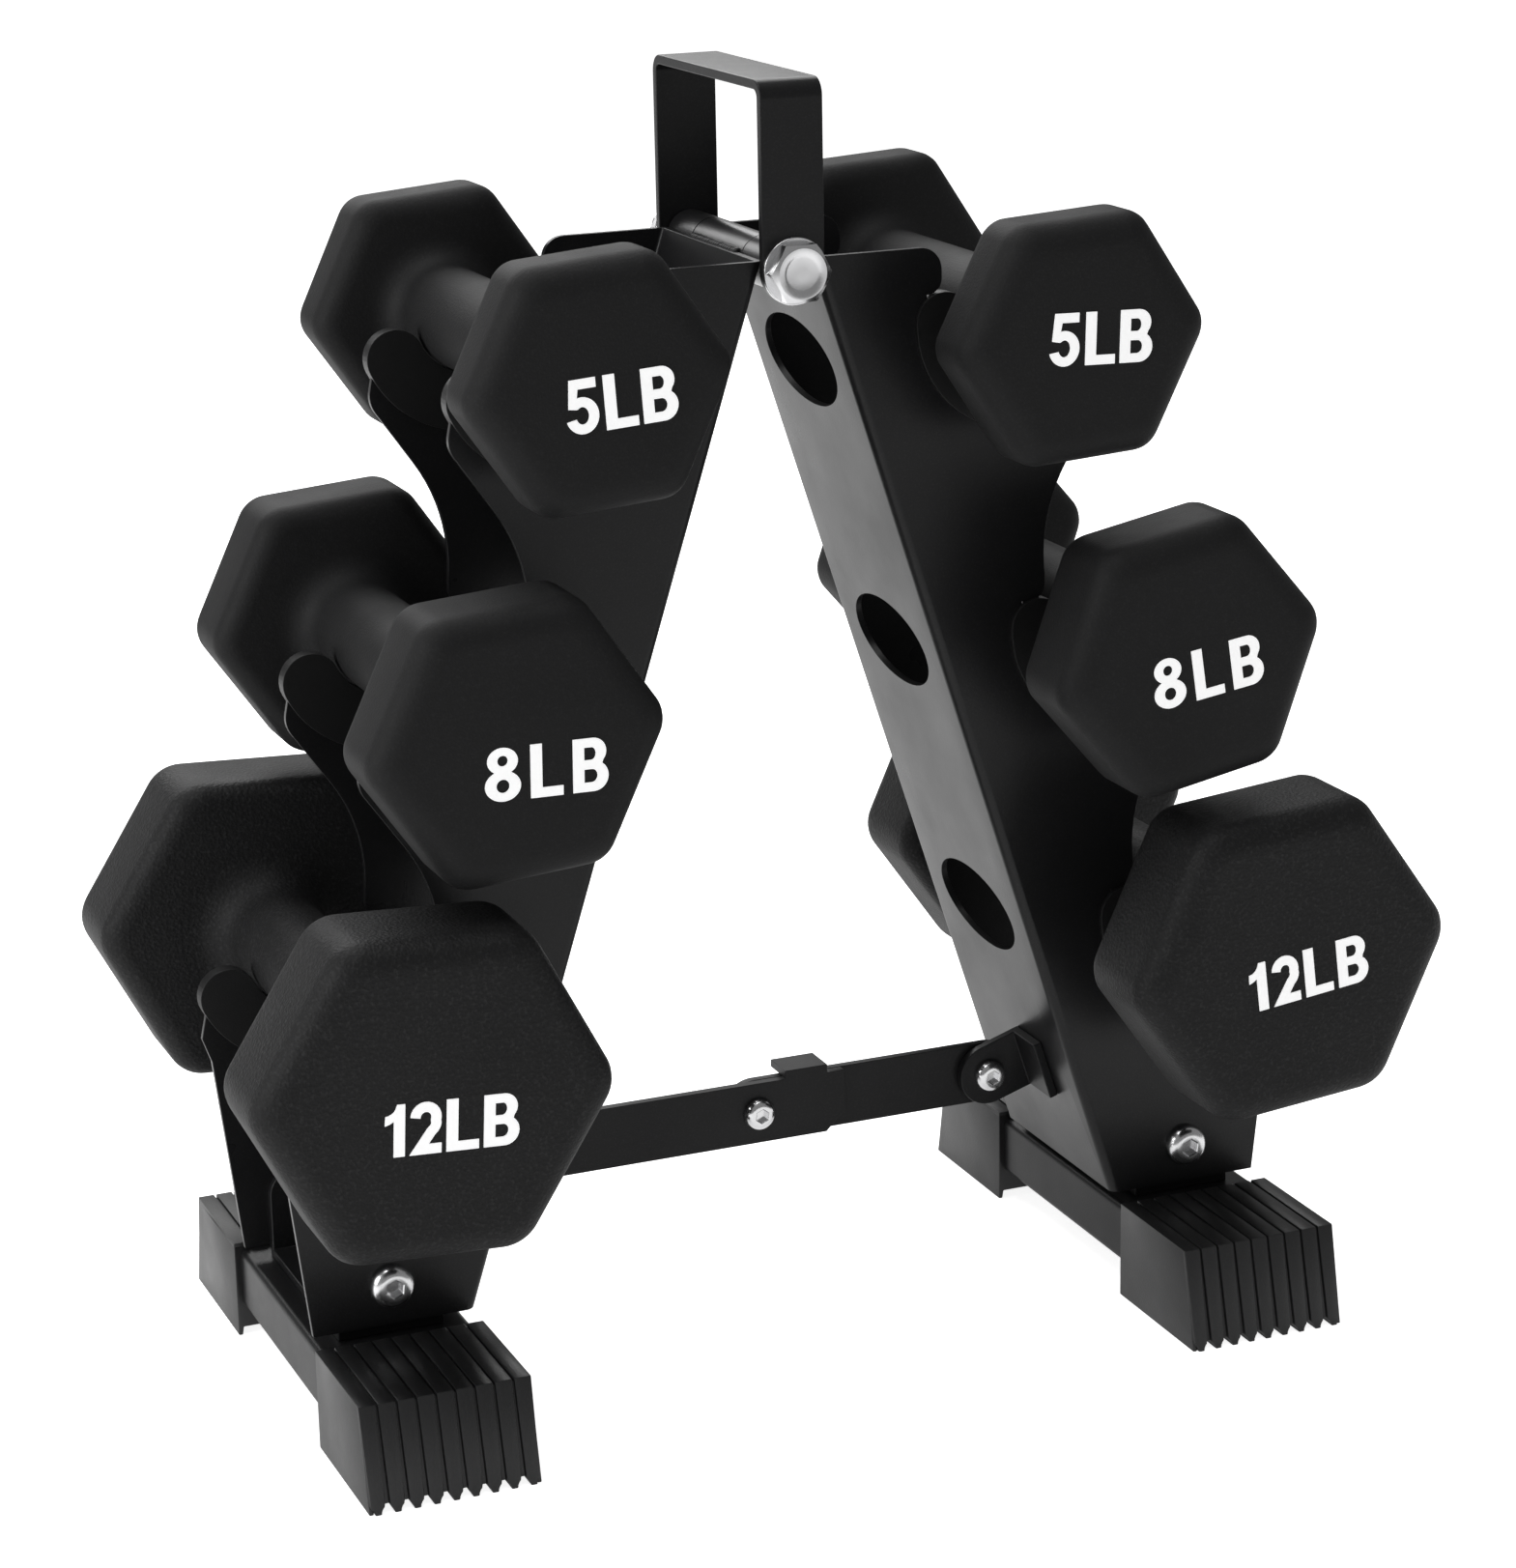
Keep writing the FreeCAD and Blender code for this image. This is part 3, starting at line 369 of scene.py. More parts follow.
def settle(item, name, material):
    """Turns an object with modifiers into a plain one of the given name and finish."""
    evaluated = item.evaluated_get(bpy.context.evaluated_depsgraph_get())
    mesh = bpy.data.meshes.new_from_object(evaluated)
    bpy.data.objects.remove(item)
    mesh.name = name
    mesh.materials.clear()
    mesh.materials.append(material)
    return link_object(name, mesh)


def soft_edged(node, material, width):
    """A copy of a CAD node with its sharp edges rounded; it stands for the node."""
    source = frame["nodes"][node]
    bm = bmesh.new()
    bm.from_mesh(source.data)
    bmesh.ops.remove_doubles(bm, verts=bm.verts, dist=WELD_DISTANCE)
    bmesh.ops.dissolve_limit(bm, angle_limit=FLAT_ENOUGH, verts=bm.verts, edges=bm.edges)
    mesh = bpy.data.meshes.new(node + "_soft")
    bm.to_mesh(mesh)
    bm.free()
    mesh.shade_smooth()
    mesh.set_sharp_from_angle(angle=SHARP_EDGE)
    item = link_object(node + "_work", mesh)
    rounding = item.modifiers.new("Edges", "BEVEL")
    rounding.width = width
    rounding.segments = EDGE_SEGMENTS
    rounding.limit_method = "ANGLE"
    rounding.angle_limit = SHARP_EDGE
    rounding.use_clamp_overlap = True
    rounding.harden_normals = True
    stand_for(settle(item, node + "_finished", material), node)


def stand_for(piece, node):
    """Lets a piece take a CAD node's place and body."""
    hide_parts(node)
    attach(piece, body_of(node))


def both_sides(*names):
    return [side + "_" + name for name in names for side in SIDES]


def soften_group(nodes, material, width):
    for node in nodes:
        soft_edged(node, finish(material), width)


# ---------------------------------------------------------------- rings and lofts

# Points on each rounded corner and between two corners of a six-sided outline.
ARC_STEPS = 8
FLAT_STEPS = 5


def rounded_hexagon(half_flats, corner, turn):
    """Points around a six-sided outline with rounded corners; corner 0 lies to the right before the turn."""
    points = []
    centre = (half_flats - corner) / math.cos(math.radians(30))
    for i in range(6):
        middle = turn + math.radians(60 * i)
        cx, cz = centre * math.cos(middle), centre * math.sin(middle)
        for step in range(ARC_STEPS + 1):
            angle = middle + math.radians(-30 + 60 * step / ARC_STEPS)
            points.append((cx + corner * math.cos(angle), cz + corner * math.sin(angle)))
        nx, nz = centre * math.cos(middle + math.radians(60)), centre * math.sin(middle + math.radians(60))
        angle = middle + math.radians(30)
        ends = [(x + corner * math.cos(angle), z + corner * math.sin(angle)) for x, z in ((cx, cz), (nx, nz))]
        for step in range(1, FLAT_STEPS + 1):
            t = step / (FLAT_STEPS + 1)
            points.append(tuple(ends[0][k] * (1 - t) + ends[1][k] * t for k in (0, 1)))
    return points


def round_like(outline, radius):
    """A circle with its points at the same angles as an outline's."""
    return [(radius * math.cos(a), radius * math.sin(a)) for a in (math.atan2(z, x) for x, z in outline)]


def loft(bm, rings):
    """Skins rings of equal count, each (y, points) where y is one number or one for each point; closes the ends."""
    rows = []
    for y, points in rings:
        levels = [y] * len(points) if isinstance(y, (int, float)) else y
        rows.append([bm.verts.new((x, level, z)) for level, (x, z) in zip(levels, points)])
    count = len(rows[0])
    for a, b in zip(rows, rows[1:]):
        for i in range(count):
            bm.faces.new((a[i], a[(i + 1) % count], b[(i + 1) % count], b[i]))
    for row, flip in ((rows[0], True), (rows[-1], False)):
        centre = bm.verts.new(sum((v.co for v in row), Vector()) / count)
        for i in range(count):
            pair = (row[i], row[(i + 1) % count])
            bm.faces.new((centre, *(pair if flip else reversed(pair))))


# ---------------------------------------------------------------- dumbbells

# Half width across flats and head thickness, as the iron and its coat are cast, and how far each side's hexagon
# has rolled in its saddle.
DUMBBELLS = {
    "5": {"flats": 36.5 * MM, "head": 27.5 * MM, "left": 4.6, "right": 3.4, "coat": "smooth coat"},
    "8": {"flats": 40.5 * MM, "head": 34.0 * MM, "left": 4.4, "right": 10.5, "coat": "smooth coat"},
    "12": {"flats": 49.0 * MM, "head": 40.0 * MM, "left": -2.7, "right": 5.3, "coat": "pebbled coat"},
}
GRIP_RADIUS = 15.0 * MM
# How far a head's face bulges, and the tightest corner a ring may have.
FACE_CROWN = 0.3 * MM
LEAST_CORNER = 2.5 * MM
# Where each mark starts from the head's middle (right, up), its slope in degrees and the gap between its characters,
# all lengths in millimetres.
MARKS = {
    "left_5": (-12.2, -12.5, 3.8, 1.55),
    "left_8": (-12.4, -14.2, -0.9, 3.0),
    "left_12": (-17.8, -13.2, -3.1, 1.5),
    "right_5": (-14.1, -6.1, -1.7, 1.65),
    "right_8": (-14.7, -13.7, 8.3, 3.2),
    "right_12": (-17.2, -12.8, 6.8, 1.97),
}


def head_rings(half_flats, corner, edge, y_face, y_back, turn):
    """Rings of one head from near the middle of its outer face to the rim of its inner face."""
    rings = []
    sign = 1.0 if y_back > y_face else -1.0

    def ring(inset, y):
        flats = half_flats - inset
        soft = min(flats * 0.95, max(corner - 0.45 * inset, LEAST_CORNER))
        rings.append((y, rounded_hexagon(flats, soft, turn)))

    for share in (0.08, 0.4, 0.75, 0.92):
        ring(half_flats - (half_flats - edge) * share, y_face + sign * FACE_CROWN * share * share)
    rim = edge - FACE_CROWN
    for step in range(9):
        t = math.radians(90 * step / 8)
        ring(edge * (1 - math.sin(t)), y_face + sign * (FACE_CROWN + rim * (1 - math.cos(t))))
    back_edge = edge * 0.75
    ring(0.0, y_face + sign * (edge + 0.5 * (abs(y_back - y_face) - edge - back_edge)))
    for step in range(7):
        t = math.radians(90 * step / 6)
        ring(back_edge * (1 - math.cos(t)), y_back - sign * back_edge * (1 - math.sin(t)))
    return rings


def coat_mesh(name, spec, half_length, turn, settings):
    """The whole moulded coat as one closed skin, centred on its own grip."""
    flats = spec["flats"]
    corner, edge = settings.corner_share * flats, settings.rim
    inner = half_length - spec["head"]
    front = head_rings(flats, corner, edge, -half_length, -inner, turn)
    outline = front[-1][1]
    flare = settings.flare_share * flats
    grip_rows = [(-inner, GRIP_RADIUS + flare * 1.25)]
    for step in range(9):
        t = math.radians(90 * step / 8)
        grip_rows.append((-inner + flare * (1.02 - math.cos(t)), GRIP_RADIUS + flare * (1 - math.sin(t))))
    grip_rows += [(-inner * 0.4, GRIP_RADIUS), (0.0, GRIP_RADIUS)]
    rings = front + [(y, round_like(outline, r)) for y, r in grip_rows]
    back = [(-y, points) for y, points in reversed(rings[:-1])]
    bm = bmesh.new()
    loft(bm, rings + back)
    return mesh_from_bmesh(name, bm, 60.0)


class RACK_OT_weights(bpy.types.Operator):
    """Moulds the coats of the six dumbbells."""
    bl_idname = "rack.weights"
    bl_label = "Dumbbell coats"

    def execute(self, context):
        settings = context.scene.rack_dumbbells
        for side in SIDES:
            for size, spec in DUMBBELLS.items():
                key = "%s_%s" % (side, size)
                low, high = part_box(key + "_coat")
                half_length = (high.y - low.y) / 2 - settings.mark_relief
                mesh = coat_mesh(key + "_moulding", spec, half_length, math.radians(spec[side]), settings)
                mesh.transform(Matrix.Translation((low + high) / 2))
                mesh.materials.append(finish(spec["coat"]))
                piece = link_object(mesh.name, mesh)
                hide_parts(key + "_coat")
                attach(piece, key + "_dumbbell")
        return {"FINISHED"}


# ---------------------------------------------------------------- figures and letters

def arc(cx, cy, rx, ry, start, end, steps=10):
    """Points on an ellipse, angles in degrees."""
    spots = []
    for i in range(steps + 1):
        t = math.radians(start + (end - start) * i / steps)
        spots.append((cx + rx * math.cos(t), cy + ry * math.sin(t)))
    return spots


def brush(line, width):
    """The outline of an even stroke drawn along a run of points, with mitred corners."""
    sides = ([], [])
    for i, spot in enumerate(line):
        before = Vector(spot) - Vector(line[i - 1]) if i else Vector(line[1]) - Vector(spot)
        after = Vector(line[i + 1]) - Vector(spot) if i + 1 < len(line) else before
        before, after = before.normalized(), after.normalized()
        across = Vector((-before.y - after.y, before.x + after.x)).normalized()
        reach = width / 2 / max(0.3, across.dot(Vector((-before.y, before.x))))
        sides[0].append(tuple(Vector(spot) + across * reach))
        sides[1].append(tuple(Vector(spot) - across * reach))
    return sides[0] + sides[1][::-1]


def figure_one():
    flag = [(0.17, 0.0), (0.38, 0.0), (0.38, 1.0), (0.23, 1.0)]
    return [flag + arc(0.0, 1.0, 0.22, 0.21, -12, -88, 5) + [(0.0, 0.61), (0.09, 0.64), (0.17, 0.69)]]


def figure_two():
    line = arc(0.3, 0.7, 0.2, 0.205, 178, -18, 12) + arc(0.29, 0.6, 0.21, 0.2, -5, -48, 4)
    return [brush(line[:-1] + [(0.4, 0.42), (0.175, 0.095), (0.6, 0.095)], 0.19)]


def figure_five():
    outline = [(0.1, 1.0), (0.6, 1.0), (0.6, 0.82), (0.25, 0.82), (0.222, 0.655)]
    outline += arc(0.305, 0.335, 0.315, 0.335, 98, -165, 24) + arc(0.305, 0.335, 0.125, 0.16, 200, 490, 20)
    return [outline + [(0.2, 0.455), (0.05, 0.48)]]


def figure_eight():
    middle = 0.34
    right = []
    for i in range(41):
        y = 0.5 * (1 - math.cos(math.pi * i / 40))
        lower = 0.34 * math.sqrt(max(0.0, 1 - ((y - 0.285) / 0.285) ** 2))
        upper = 0.29 * math.sqrt(max(0.0, 1 - ((y - 0.75) / 0.25) ** 2))
        right.append((middle + max(lower, upper), y))
    outline = right + [(2 * middle - x, y) for x, y in reversed(right[1:-1])]
    holes = [arc(middle, 0.285, 0.125, 0.125, 0, 345, 23), arc(middle, 0.755, 0.1, 0.1, 0, 345, 23)]
    return [outline] + holes


def letter_l():
    return [[(0.0, 0.0), (0.62, 0.0), (0.62, 0.18), (0.22, 0.18), (0.22, 1.0), (0.0, 1.0)]]


def letter_b():
    outline = [(0.0, 0.0), (0.38, 0.0)] + arc(0.4, 0.285, 0.28, 0.285, -85, 55, 10)
    outline += arc(0.39, 0.745, 0.25, 0.255, -40, 90, 10) + [(0.0, 1.0)]
    low = [(0.215, 0.17), (0.38, 0.17)] + arc(0.36, 0.295, 0.11, 0.125, -80, 80, 8) + [(0.215, 0.42)]
    high = [(0.215, 0.59), (0.36, 0.59)] + arc(0.35, 0.71, 0.09, 0.12, -80, 80, 8) + [(0.215, 0.83)]
    return [outline, low, high]


CHARACTERS = {
    "1": (0.38, figure_one), "2": (0.6, figure_two), "5": (0.645, figure_five),
    "8": (0.68, figure_eight), "L": (0.62, letter_l), "B": (0.68, letter_b),
}


def weight_mark(name, words, key, settings):
    """Bold plain characters as thin raised paint, facing the front, about the head's middle."""
    start, base, slope, gap = MARKS[key]
    height = settings.mark_height
    curve = bpy.data.curves.new(name + "_outline", "CURVE")
    curve.dimensions = "2D"
    curve.fill_mode = "BOTH"
    curve.extrude = settings.mark_relief / 2
    along = 0.0
    for character in words:
        width, draw = CHARACTERS[character]
        for loop in draw():
            spline = curve.splines.new("POLY")
            spline.points.add(len(loop) - 1)
            for point, (x, y) in zip(spline.points, loop):
                point.co = (along + x * height, y * height, 0.0, 1.0)
            spline.use_cyclic_u = True
        along += width * height + gap * MM
    item = link_object(name + "_outline", curve)
    mesh = bpy.data.meshes.new_from_object(item.evaluated_get(bpy.context.evaluated_depsgraph_get()))
    bpy.data.objects.remove(item)
    slant = Matrix.Translation((start * MM, base * MM, 0.0)) @ Matrix.Rotation(math.radians(slope), 4, "Z")
    mesh.transform(Matrix.Rotation(math.radians(90), 4, "X") @ slant)
    bm = bmesh.new()
    bm.from_mesh(mesh)
    bpy.data.meshes.remove(mesh)
    bmesh.ops.remove_doubles(bm, verts=bm.verts, dist=WELD_DISTANCE)
    flat = mesh_from_bmesh(name, bm, 30.0)
    flat.materials.clear()
    flat.materials.append(finish("mark paint with painted glow"))
    return link_object(name, flat)


class RACK_OT_marks(bpy.types.Operator):
    """Sets the weight marks on the heads' outer faces."""
    bl_idname = "rack.marks"
    bl_label = "Weight marks"

    def execute(self, context):
        settings = context.scene.rack_dumbbells
        for side in SIDES:
            for size in DUMBBELLS:
                key = "%s_%s" % (side, size)
                low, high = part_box(key + "_coat")
                out = (high.y - low.y) / 2 - settings.mark_relief / 2
                for end, turn in (("front", 0.0), ("rear", math.pi)):
                    piece = weight_mark("%s_mark_%s" % (key, end), size + "LB", key, settings)
                    stand = Matrix.Rotation(turn, 4, "Z") @ Matrix.Translation((0.0, -out, 0.0))
                    piece.data.transform(Matrix.Translation((low + high) / 2) @ stand)
                    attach(piece, key + "_dumbbell")
        return {"FINISHED"}


# ---------------------------------------------------------------- repeated parts

def build_row_tree():
    """Geometry nodes that repeat a shape along a line, each copy turned and sized a little differently."""
    tree = bpy.data.node_groups.new("Row of copies", "GeometryNodeTree")
    sockets = (("Geometry", "Geometry", None), ("Count", "Int", 2), ("First", "Vector", (0, 0, 0)),
               ("Step", "Vector", (0, 0, 0.01)), ("Turn", "Float", 0.0), ("Size spread", "Float", 0.0),
               ("Seed", "Int", 7), ("Material", "Material", None))
    for label, kind, default in sockets:
        socket = tree.interface.new_socket(label, in_out="INPUT", socket_type="NodeSocket" + kind)
        if default is not None:
            socket.default_value = default
    tree.interface.new_socket("Geometry", in_out="OUTPUT", socket_type="NodeSocketGeometry")
    inside, outside = tree.nodes.new("NodeGroupInput"), tree.nodes.new("NodeGroupOutput")
    line = tree.nodes.new("GeometryNodeMeshLine")
    copies = tree.nodes.new("GeometryNodeInstanceOnPoints")
    index = tree.nodes.new("GeometryNodeInputIndex")
    turn = tree.nodes.new("ShaderNodeMath")
    turn.operation = "MULTIPLY"
    about_z = tree.nodes.new("ShaderNodeCombineXYZ")
    least, most = tree.nodes.new("ShaderNodeMath"), tree.nodes.new("ShaderNodeMath")
    least.operation, most.operation = "SUBTRACT", "ADD"
    size = tree.nodes.new("FunctionNodeRandomValue")
    real = tree.nodes.new("GeometryNodeRealizeInstances")
    paint = tree.nodes.new("GeometryNodeSetMaterial")
    link = tree.links.new
    link(inside.outputs["Count"], line.inputs["Count"])
    link(inside.outputs["First"], line.inputs["Start Location"])
    link(inside.outputs["Step"], line.inputs["Offset"])
    link(line.outputs["Mesh"], copies.inputs["Points"])
    link(inside.outputs["Geometry"], copies.inputs["Instance"])
    link(index.outputs["Index"], turn.inputs[0])
    link(inside.outputs["Turn"], turn.inputs[1])
    link(turn.outputs[0], about_z.inputs["Z"])
    link(about_z.outputs[0], copies.inputs["Rotation"])
    for node in (least, most):
        node.inputs[0].default_value = 1.0
        link(inside.outputs["Size spread"], node.inputs[1])
    link(least.outputs[0], size.inputs[2])
    link(most.outputs[0], size.inputs[3])
    link(inside.outputs["Seed"], size.inputs["Seed"])
    link(size.outputs[1], copies.inputs["Scale"])
    link(copies.outputs["Instances"], real.inputs["Geometry"])
    link(real.outputs["Geometry"], paint.inputs["Geometry"])
    link(inside.outputs["Material"], paint.inputs["Material"])
    link(paint.outputs["Geometry"], outside.inputs["Geometry"])
    return tree


def row_of(name, mesh, material, **values):
    """Repeats a mesh with the row tree and returns the result as one plain object."""
    tree = bpy.data.node_groups.get("Row of copies") or build_row_tree()
    item = link_object(name + "_one", mesh)
    row = item.modifiers.new("Row", "NODES")
    row.node_group = tree
    values = {**{label.replace("_", " "): value for label, value in values.items()}, "Material": material}
    for socket in tree.interface.items_tree:
        if socket.in_out == "INPUT" and socket.name in values:
            row[socket.identifier] = values[socket.name]
    return settle(item, name, material)


def rounded_solid(name, bm, width):
    """Closes a mesh under construction and rounds its sharp edges."""
    bmesh.ops.recalc_face_normals(bm, faces=bm.faces)
    sharp = [e for e in bm.edges if e.calc_face_angle(0.0) > math.radians(25)]
    bmesh.ops.bevel(bm, geom=sharp, offset=width, segments=EDGE_SEGMENTS, profile=0.5, affect="EDGES")
    return mesh_from_bmesh(name, bm, 35.0)


# ---------------------------------------------------------------- fasteners

def button_bolt(name, head_radius, head, key, key_depth, shank_radius, shank):
    """A domed bolt with a six-sided socket; its head looks towards the front and seats at zero."""
    outline = rounded_hexagon(key / 2, 0.1 * MM, 0.4)
    wide = [(x * 1.12, z * 1.12) for x, z in outline]
    mouth = key * 0.72
    rings = [(key_depth - head, outline), (0.25 * MM - head, outline), (-head, wide)]
    for step in range(9):
        t = math.radians(90 * step / 8)
        radius = mouth + (head_radius - mouth) * math.sin(t)
        rings.append((-head + head * 0.8 * (1 - math.cos(t)), round_like(outline, radius)))
    rings += [(-0.15 * MM, round_like(outline, head_radius)), (0.0, round_like(outline, head_radius - 0.15 * MM)),
              (0.0, round_like(outline, shank_radius)), (shank - 0.6 * MM, round_like(outline, shank_radius)),
              (shank, round_like(outline, shank_radius - 0.6 * MM))]
    bm = bmesh.new()
    loft(bm, rings)
    return mesh_from_bmesh(name, bm, 32.0)


def hex_bolt(name, flats, head, shank_radius, shank):
    """A chamfered six-sided bolt with a dished face; its head looks towards the front and seats at zero."""
    outline = rounded_hexagon(flats / 2, 0.35 * MM, 0.0)
    chamfer = [-head + 0.15 * MM + max(0.0, (math.hypot(x, z) - flats * 0.47) * 0.62) for x, z in outline]
    rings = [(0.45 * MM - head, round_like(outline, flats * share)) for share in (0.1, 0.28)]
    rings += [(0.3 * MM - head, round_like(outline, flats * 0.325)), (-head, round_like(outline, flats * 0.36)),
              (-head, round_like(outline, flats * 0.45)), (chamfer, outline), (0.0, outline),
              (0.0, round_like(outline, shank_radius)), (shank - MM, round_like(outline, shank_radius)),
              (shank, round_like(outline, shank_radius - 0.8 * MM))]
    bm = bmesh.new()
    loft(bm, rings)
    return mesh_from_bmesh(name, bm, 28.0)


LEG_BOLT = {"head_radius": 7.0 * MM, "head": 4.2 * MM, "key": 5.0 * MM, "key_depth": 2.4 * MM,
            "shank_radius": 4.0 * MM}
STAY_BOLT = {"head_radius": 5.4 * MM, "head": 3.4 * MM, "key": 4.0 * MM, "key_depth": 2.0 * MM,
             "shank_radius": 3.0 * MM}
HEX_BOLT = {"flats": 17.0 * MM, "head": 5.5 * MM, "shank_radius": 5.0 * MM}
LEG_BOLT_SHANK = 12.5 * MM


# ---------------------------------------------------------------- frame parts

class RACK_OT_steel(bpy.types.Operator):
    """Finishes the folded steel, tube and bars."""
    bl_idname = "rack.steel"
    bl_label = "Coated steel"

    def execute(self, context):
        edge = context.scene.rack_edges.steel_edge
        soften_group(["carry_handle"] + both_sides("leg", "foot_bracket"), "powder coat", edge)
        soften_group(both_sides("foot_tube"), "tube coat", edge)
        soften_group(both_sides("stay_bar", "stay_tab"), "stay coat", edge)
        soften_group(both_sides("knuckles"), "barrel coat", edge)
        lay_welds(context.scene.rack_edges.bead_pitch)
        return {"FINISHED"}


# Where the welds run beside the barrel (out from the pivot, above the pivot), from where to where along it in
# millimetres, the half sizes of one ripple, how much ripples differ in size, and the first run's seed.
WELD_LINES = {"upper": (7.7 * MM, 2.7 * MM), "lower": (9.2 * MM, -2.4 * MM)}
WELD_RUNS = {"left": ((-17.5, 17.5),), "right": ((-37.5, -22.5), (22.5, 37.5))}
BEAD = (1.5 * MM, 1.25 * MM, 1.3 * MM)
BEAD_SPREAD = 0.14
FIRST_SEED = 11


def lay_welds(pitch):
    """Rippled weld beads between the hinge barrel and each leg's web."""
    low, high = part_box("pivot_bolt")
    pivot_z = (low.z + high.z) / 2
    for side, runs in WELD_RUNS.items():
        outward = -1.0 if side == "left" else 1.0
        for number, (start, end) in enumerate(runs):
            count = int((end - start) * MM / pitch) + 1
            for level, (out, up) in WELD_LINES.items():
                bm = bmesh.new()
                bmesh.ops.create_icosphere(bm, subdivisions=2, radius=1.0)
                bm.transform(Matrix.Diagonal((*BEAD, 1.0)))
                name = "%s_weld_%s_%d" % (side, level, number)
                bead = mesh_from_bmesh(name + "_bead", bm, 60.0)
                first = (outward * out, start * MM, pivot_z + up)
                piece = row_of(name, bead, finish("powder coat"), Count=count, First=first, Step=(0.0, pitch, 0.0),
                               Size_spread=BEAD_SPREAD, Seed=FIRST_SEED + number)
                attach(piece, body_of(side + "_leg"))


class RACK_OT_pads(bpy.types.Operator):
    """Finishes the moulded hook pads and foot caps."""
    bl_idname = "rack.pads"
    bl_label = "Pads and caps"

    def execute(self, context):
        edges = context.scene.rack_edges
        soften_group(both_sides("saddle_liners"), "hook pad", edges.pad_edge)
        for node in both_sides("front_cap", "rear_cap"):
            foot_cap(node, edges)
        return {"FINISHED"}


# How far the toe of a cap leans out beyond its top edge, the height of its teeth, the gap above them and how much
# narrower they are at the floor, the thickness of its ribs, and the length of its plain collar.
TOE_LEAN = 7.5 * MM
TOOTH = 2.7 * MM
TOOTH_ROOT = 0.8 * MM
TOOTH_TAPER = 0.62
TOOTH_CURVE = 2.2
RIB_SKIN = 0.9 * MM
CAP_COLLAR = 10.0 * MM
CAP_WALL = 1.4 * MM
CAP_DRAFT = 0.4 * MM
CAP_SHOULDER = (0.6 * MM, 0.2 * MM)


def foot_cap(node, edges):
    """A rubber cap: a block that grips the tube, and ribs over its top, toe and sole."""
    low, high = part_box(node)
    depth, width, top = high.y - low.y, high.x - low.x, high.z
    block = node + "_block"
    mesh = cap_block(block, depth, width, top, edges.cap_edge)
    pitch = (width + edges.rib_groove) / edges.rib_count
    rib = cap_rib(node + "_rib", depth, pitch - edges.rib_groove, top, edges.cap_edge)
    rubber = finish("cap rubber")
    first = (-pitch * (edges.rib_count - 1) / 2, 0.0, 0.0)
    ribs = row_of(node + "_ribs", rib, rubber, Count=edges.rib_count, First=first, Step=(pitch, 0.0, 0.0))
    front = low.y < -abs(high.y)
    place = Matrix.Translation(((low.x + high.x) / 2, high.y if front else low.y, 0.0))
    place = place @ Matrix.Rotation(0.0 if front else math.pi, 4, "Z")
    mesh.transform(place)
    ribs.data.transform(place)
    mesh.materials.append(rubber)
    stand_for(link_object(block, mesh), node)
    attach(ribs, body_of(node))


def toe_line(depth, top, z):
    """Y of the sloping toe at a height, measured from the cap's open end."""
    return -depth + TOE_LEAN * z / top


def cap_block(name, depth, width, top, edge):
    """The cap without its ribs; the sides reach the floor and the toe sits behind the ribs."""
    half, crown = width / 2, top - RIB_SKIN
    foot, roof = half - CAP_WALL, half - CAP_WALL - CAP_DRAFT
    inset, drop = CAP_SHOULDER
    outline = [(-half, 0.0), (-foot, 0.0), (-roof, TOOTH), (roof, TOOTH), (foot, 0.0), (half, 0.0),
               (half, top - drop), (half - inset, crown), (inset - half, crown), (-half, top - drop)]
    bm = bmesh.new()
    open_end = [bm.verts.new((x, 0.0, z)) for x, z in outline]
    toe = [bm.verts.new((x, toe_line(depth, top, z) + RIB_SKIN, z)) for x, z in outline]
    bm.faces.new(open_end)
    bm.faces.new(toe[::-1])
    for i in range(len(outline)):
        j = (i + 1) % len(outline)
        bm.faces.new((open_end[i], toe[i], toe[j], open_end[j]))
    return rounded_solid(name, bm, edge)


def cap_rib(name, depth, width, top, edge):
    """One rib: a strap over the top and down the toe, ending in a tooth that runs back under the sole."""
    toe, lip = toe_line(depth, top, 0.0), toe_line(depth, top, top)
    under, skin = -CAP_COLLAR, 2 * RIB_SKIN
    outline = [(under, 0.0), (toe, 0.0), (lip, top), (0.0, top), (0.0, top - skin), (lip + skin, top - skin),
               (toe_line(depth, top, TOOTH) + skin, TOOTH + TOOTH_ROOT), (under, TOOTH + TOOTH_ROOT)]
    bm = bmesh.new()
    sides = [[bm.verts.new((x, y, z)) for y, z in outline] for x in (-width / 2, width / 2)]
    bm.faces.new(sides[0])
    bm.faces.new(sides[1][::-1])
    for i in range(len(outline)):
        j = (i + 1) % len(outline)
        bm.faces.new((sides[0][i], sides[1][i], sides[1][j], sides[0][j]))
    for share in (0.3, 0.6, 0.85):
        everything = bm.verts[:] + bm.edges[:] + bm.faces[:]
        bmesh.ops.bisect_plane(bm, geom=everything, plane_co=(0, 0, TOOTH * share), plane_no=(0, 0, 1))
    for vert in bm.verts:
        up = min(1.0, vert.co.z / TOOTH)
        vert.co.x *= 1.0 - TOOTH_TAPER * (1.0 - up ** TOOTH_CURVE)
    return rounded_solid(name, bm, edge)


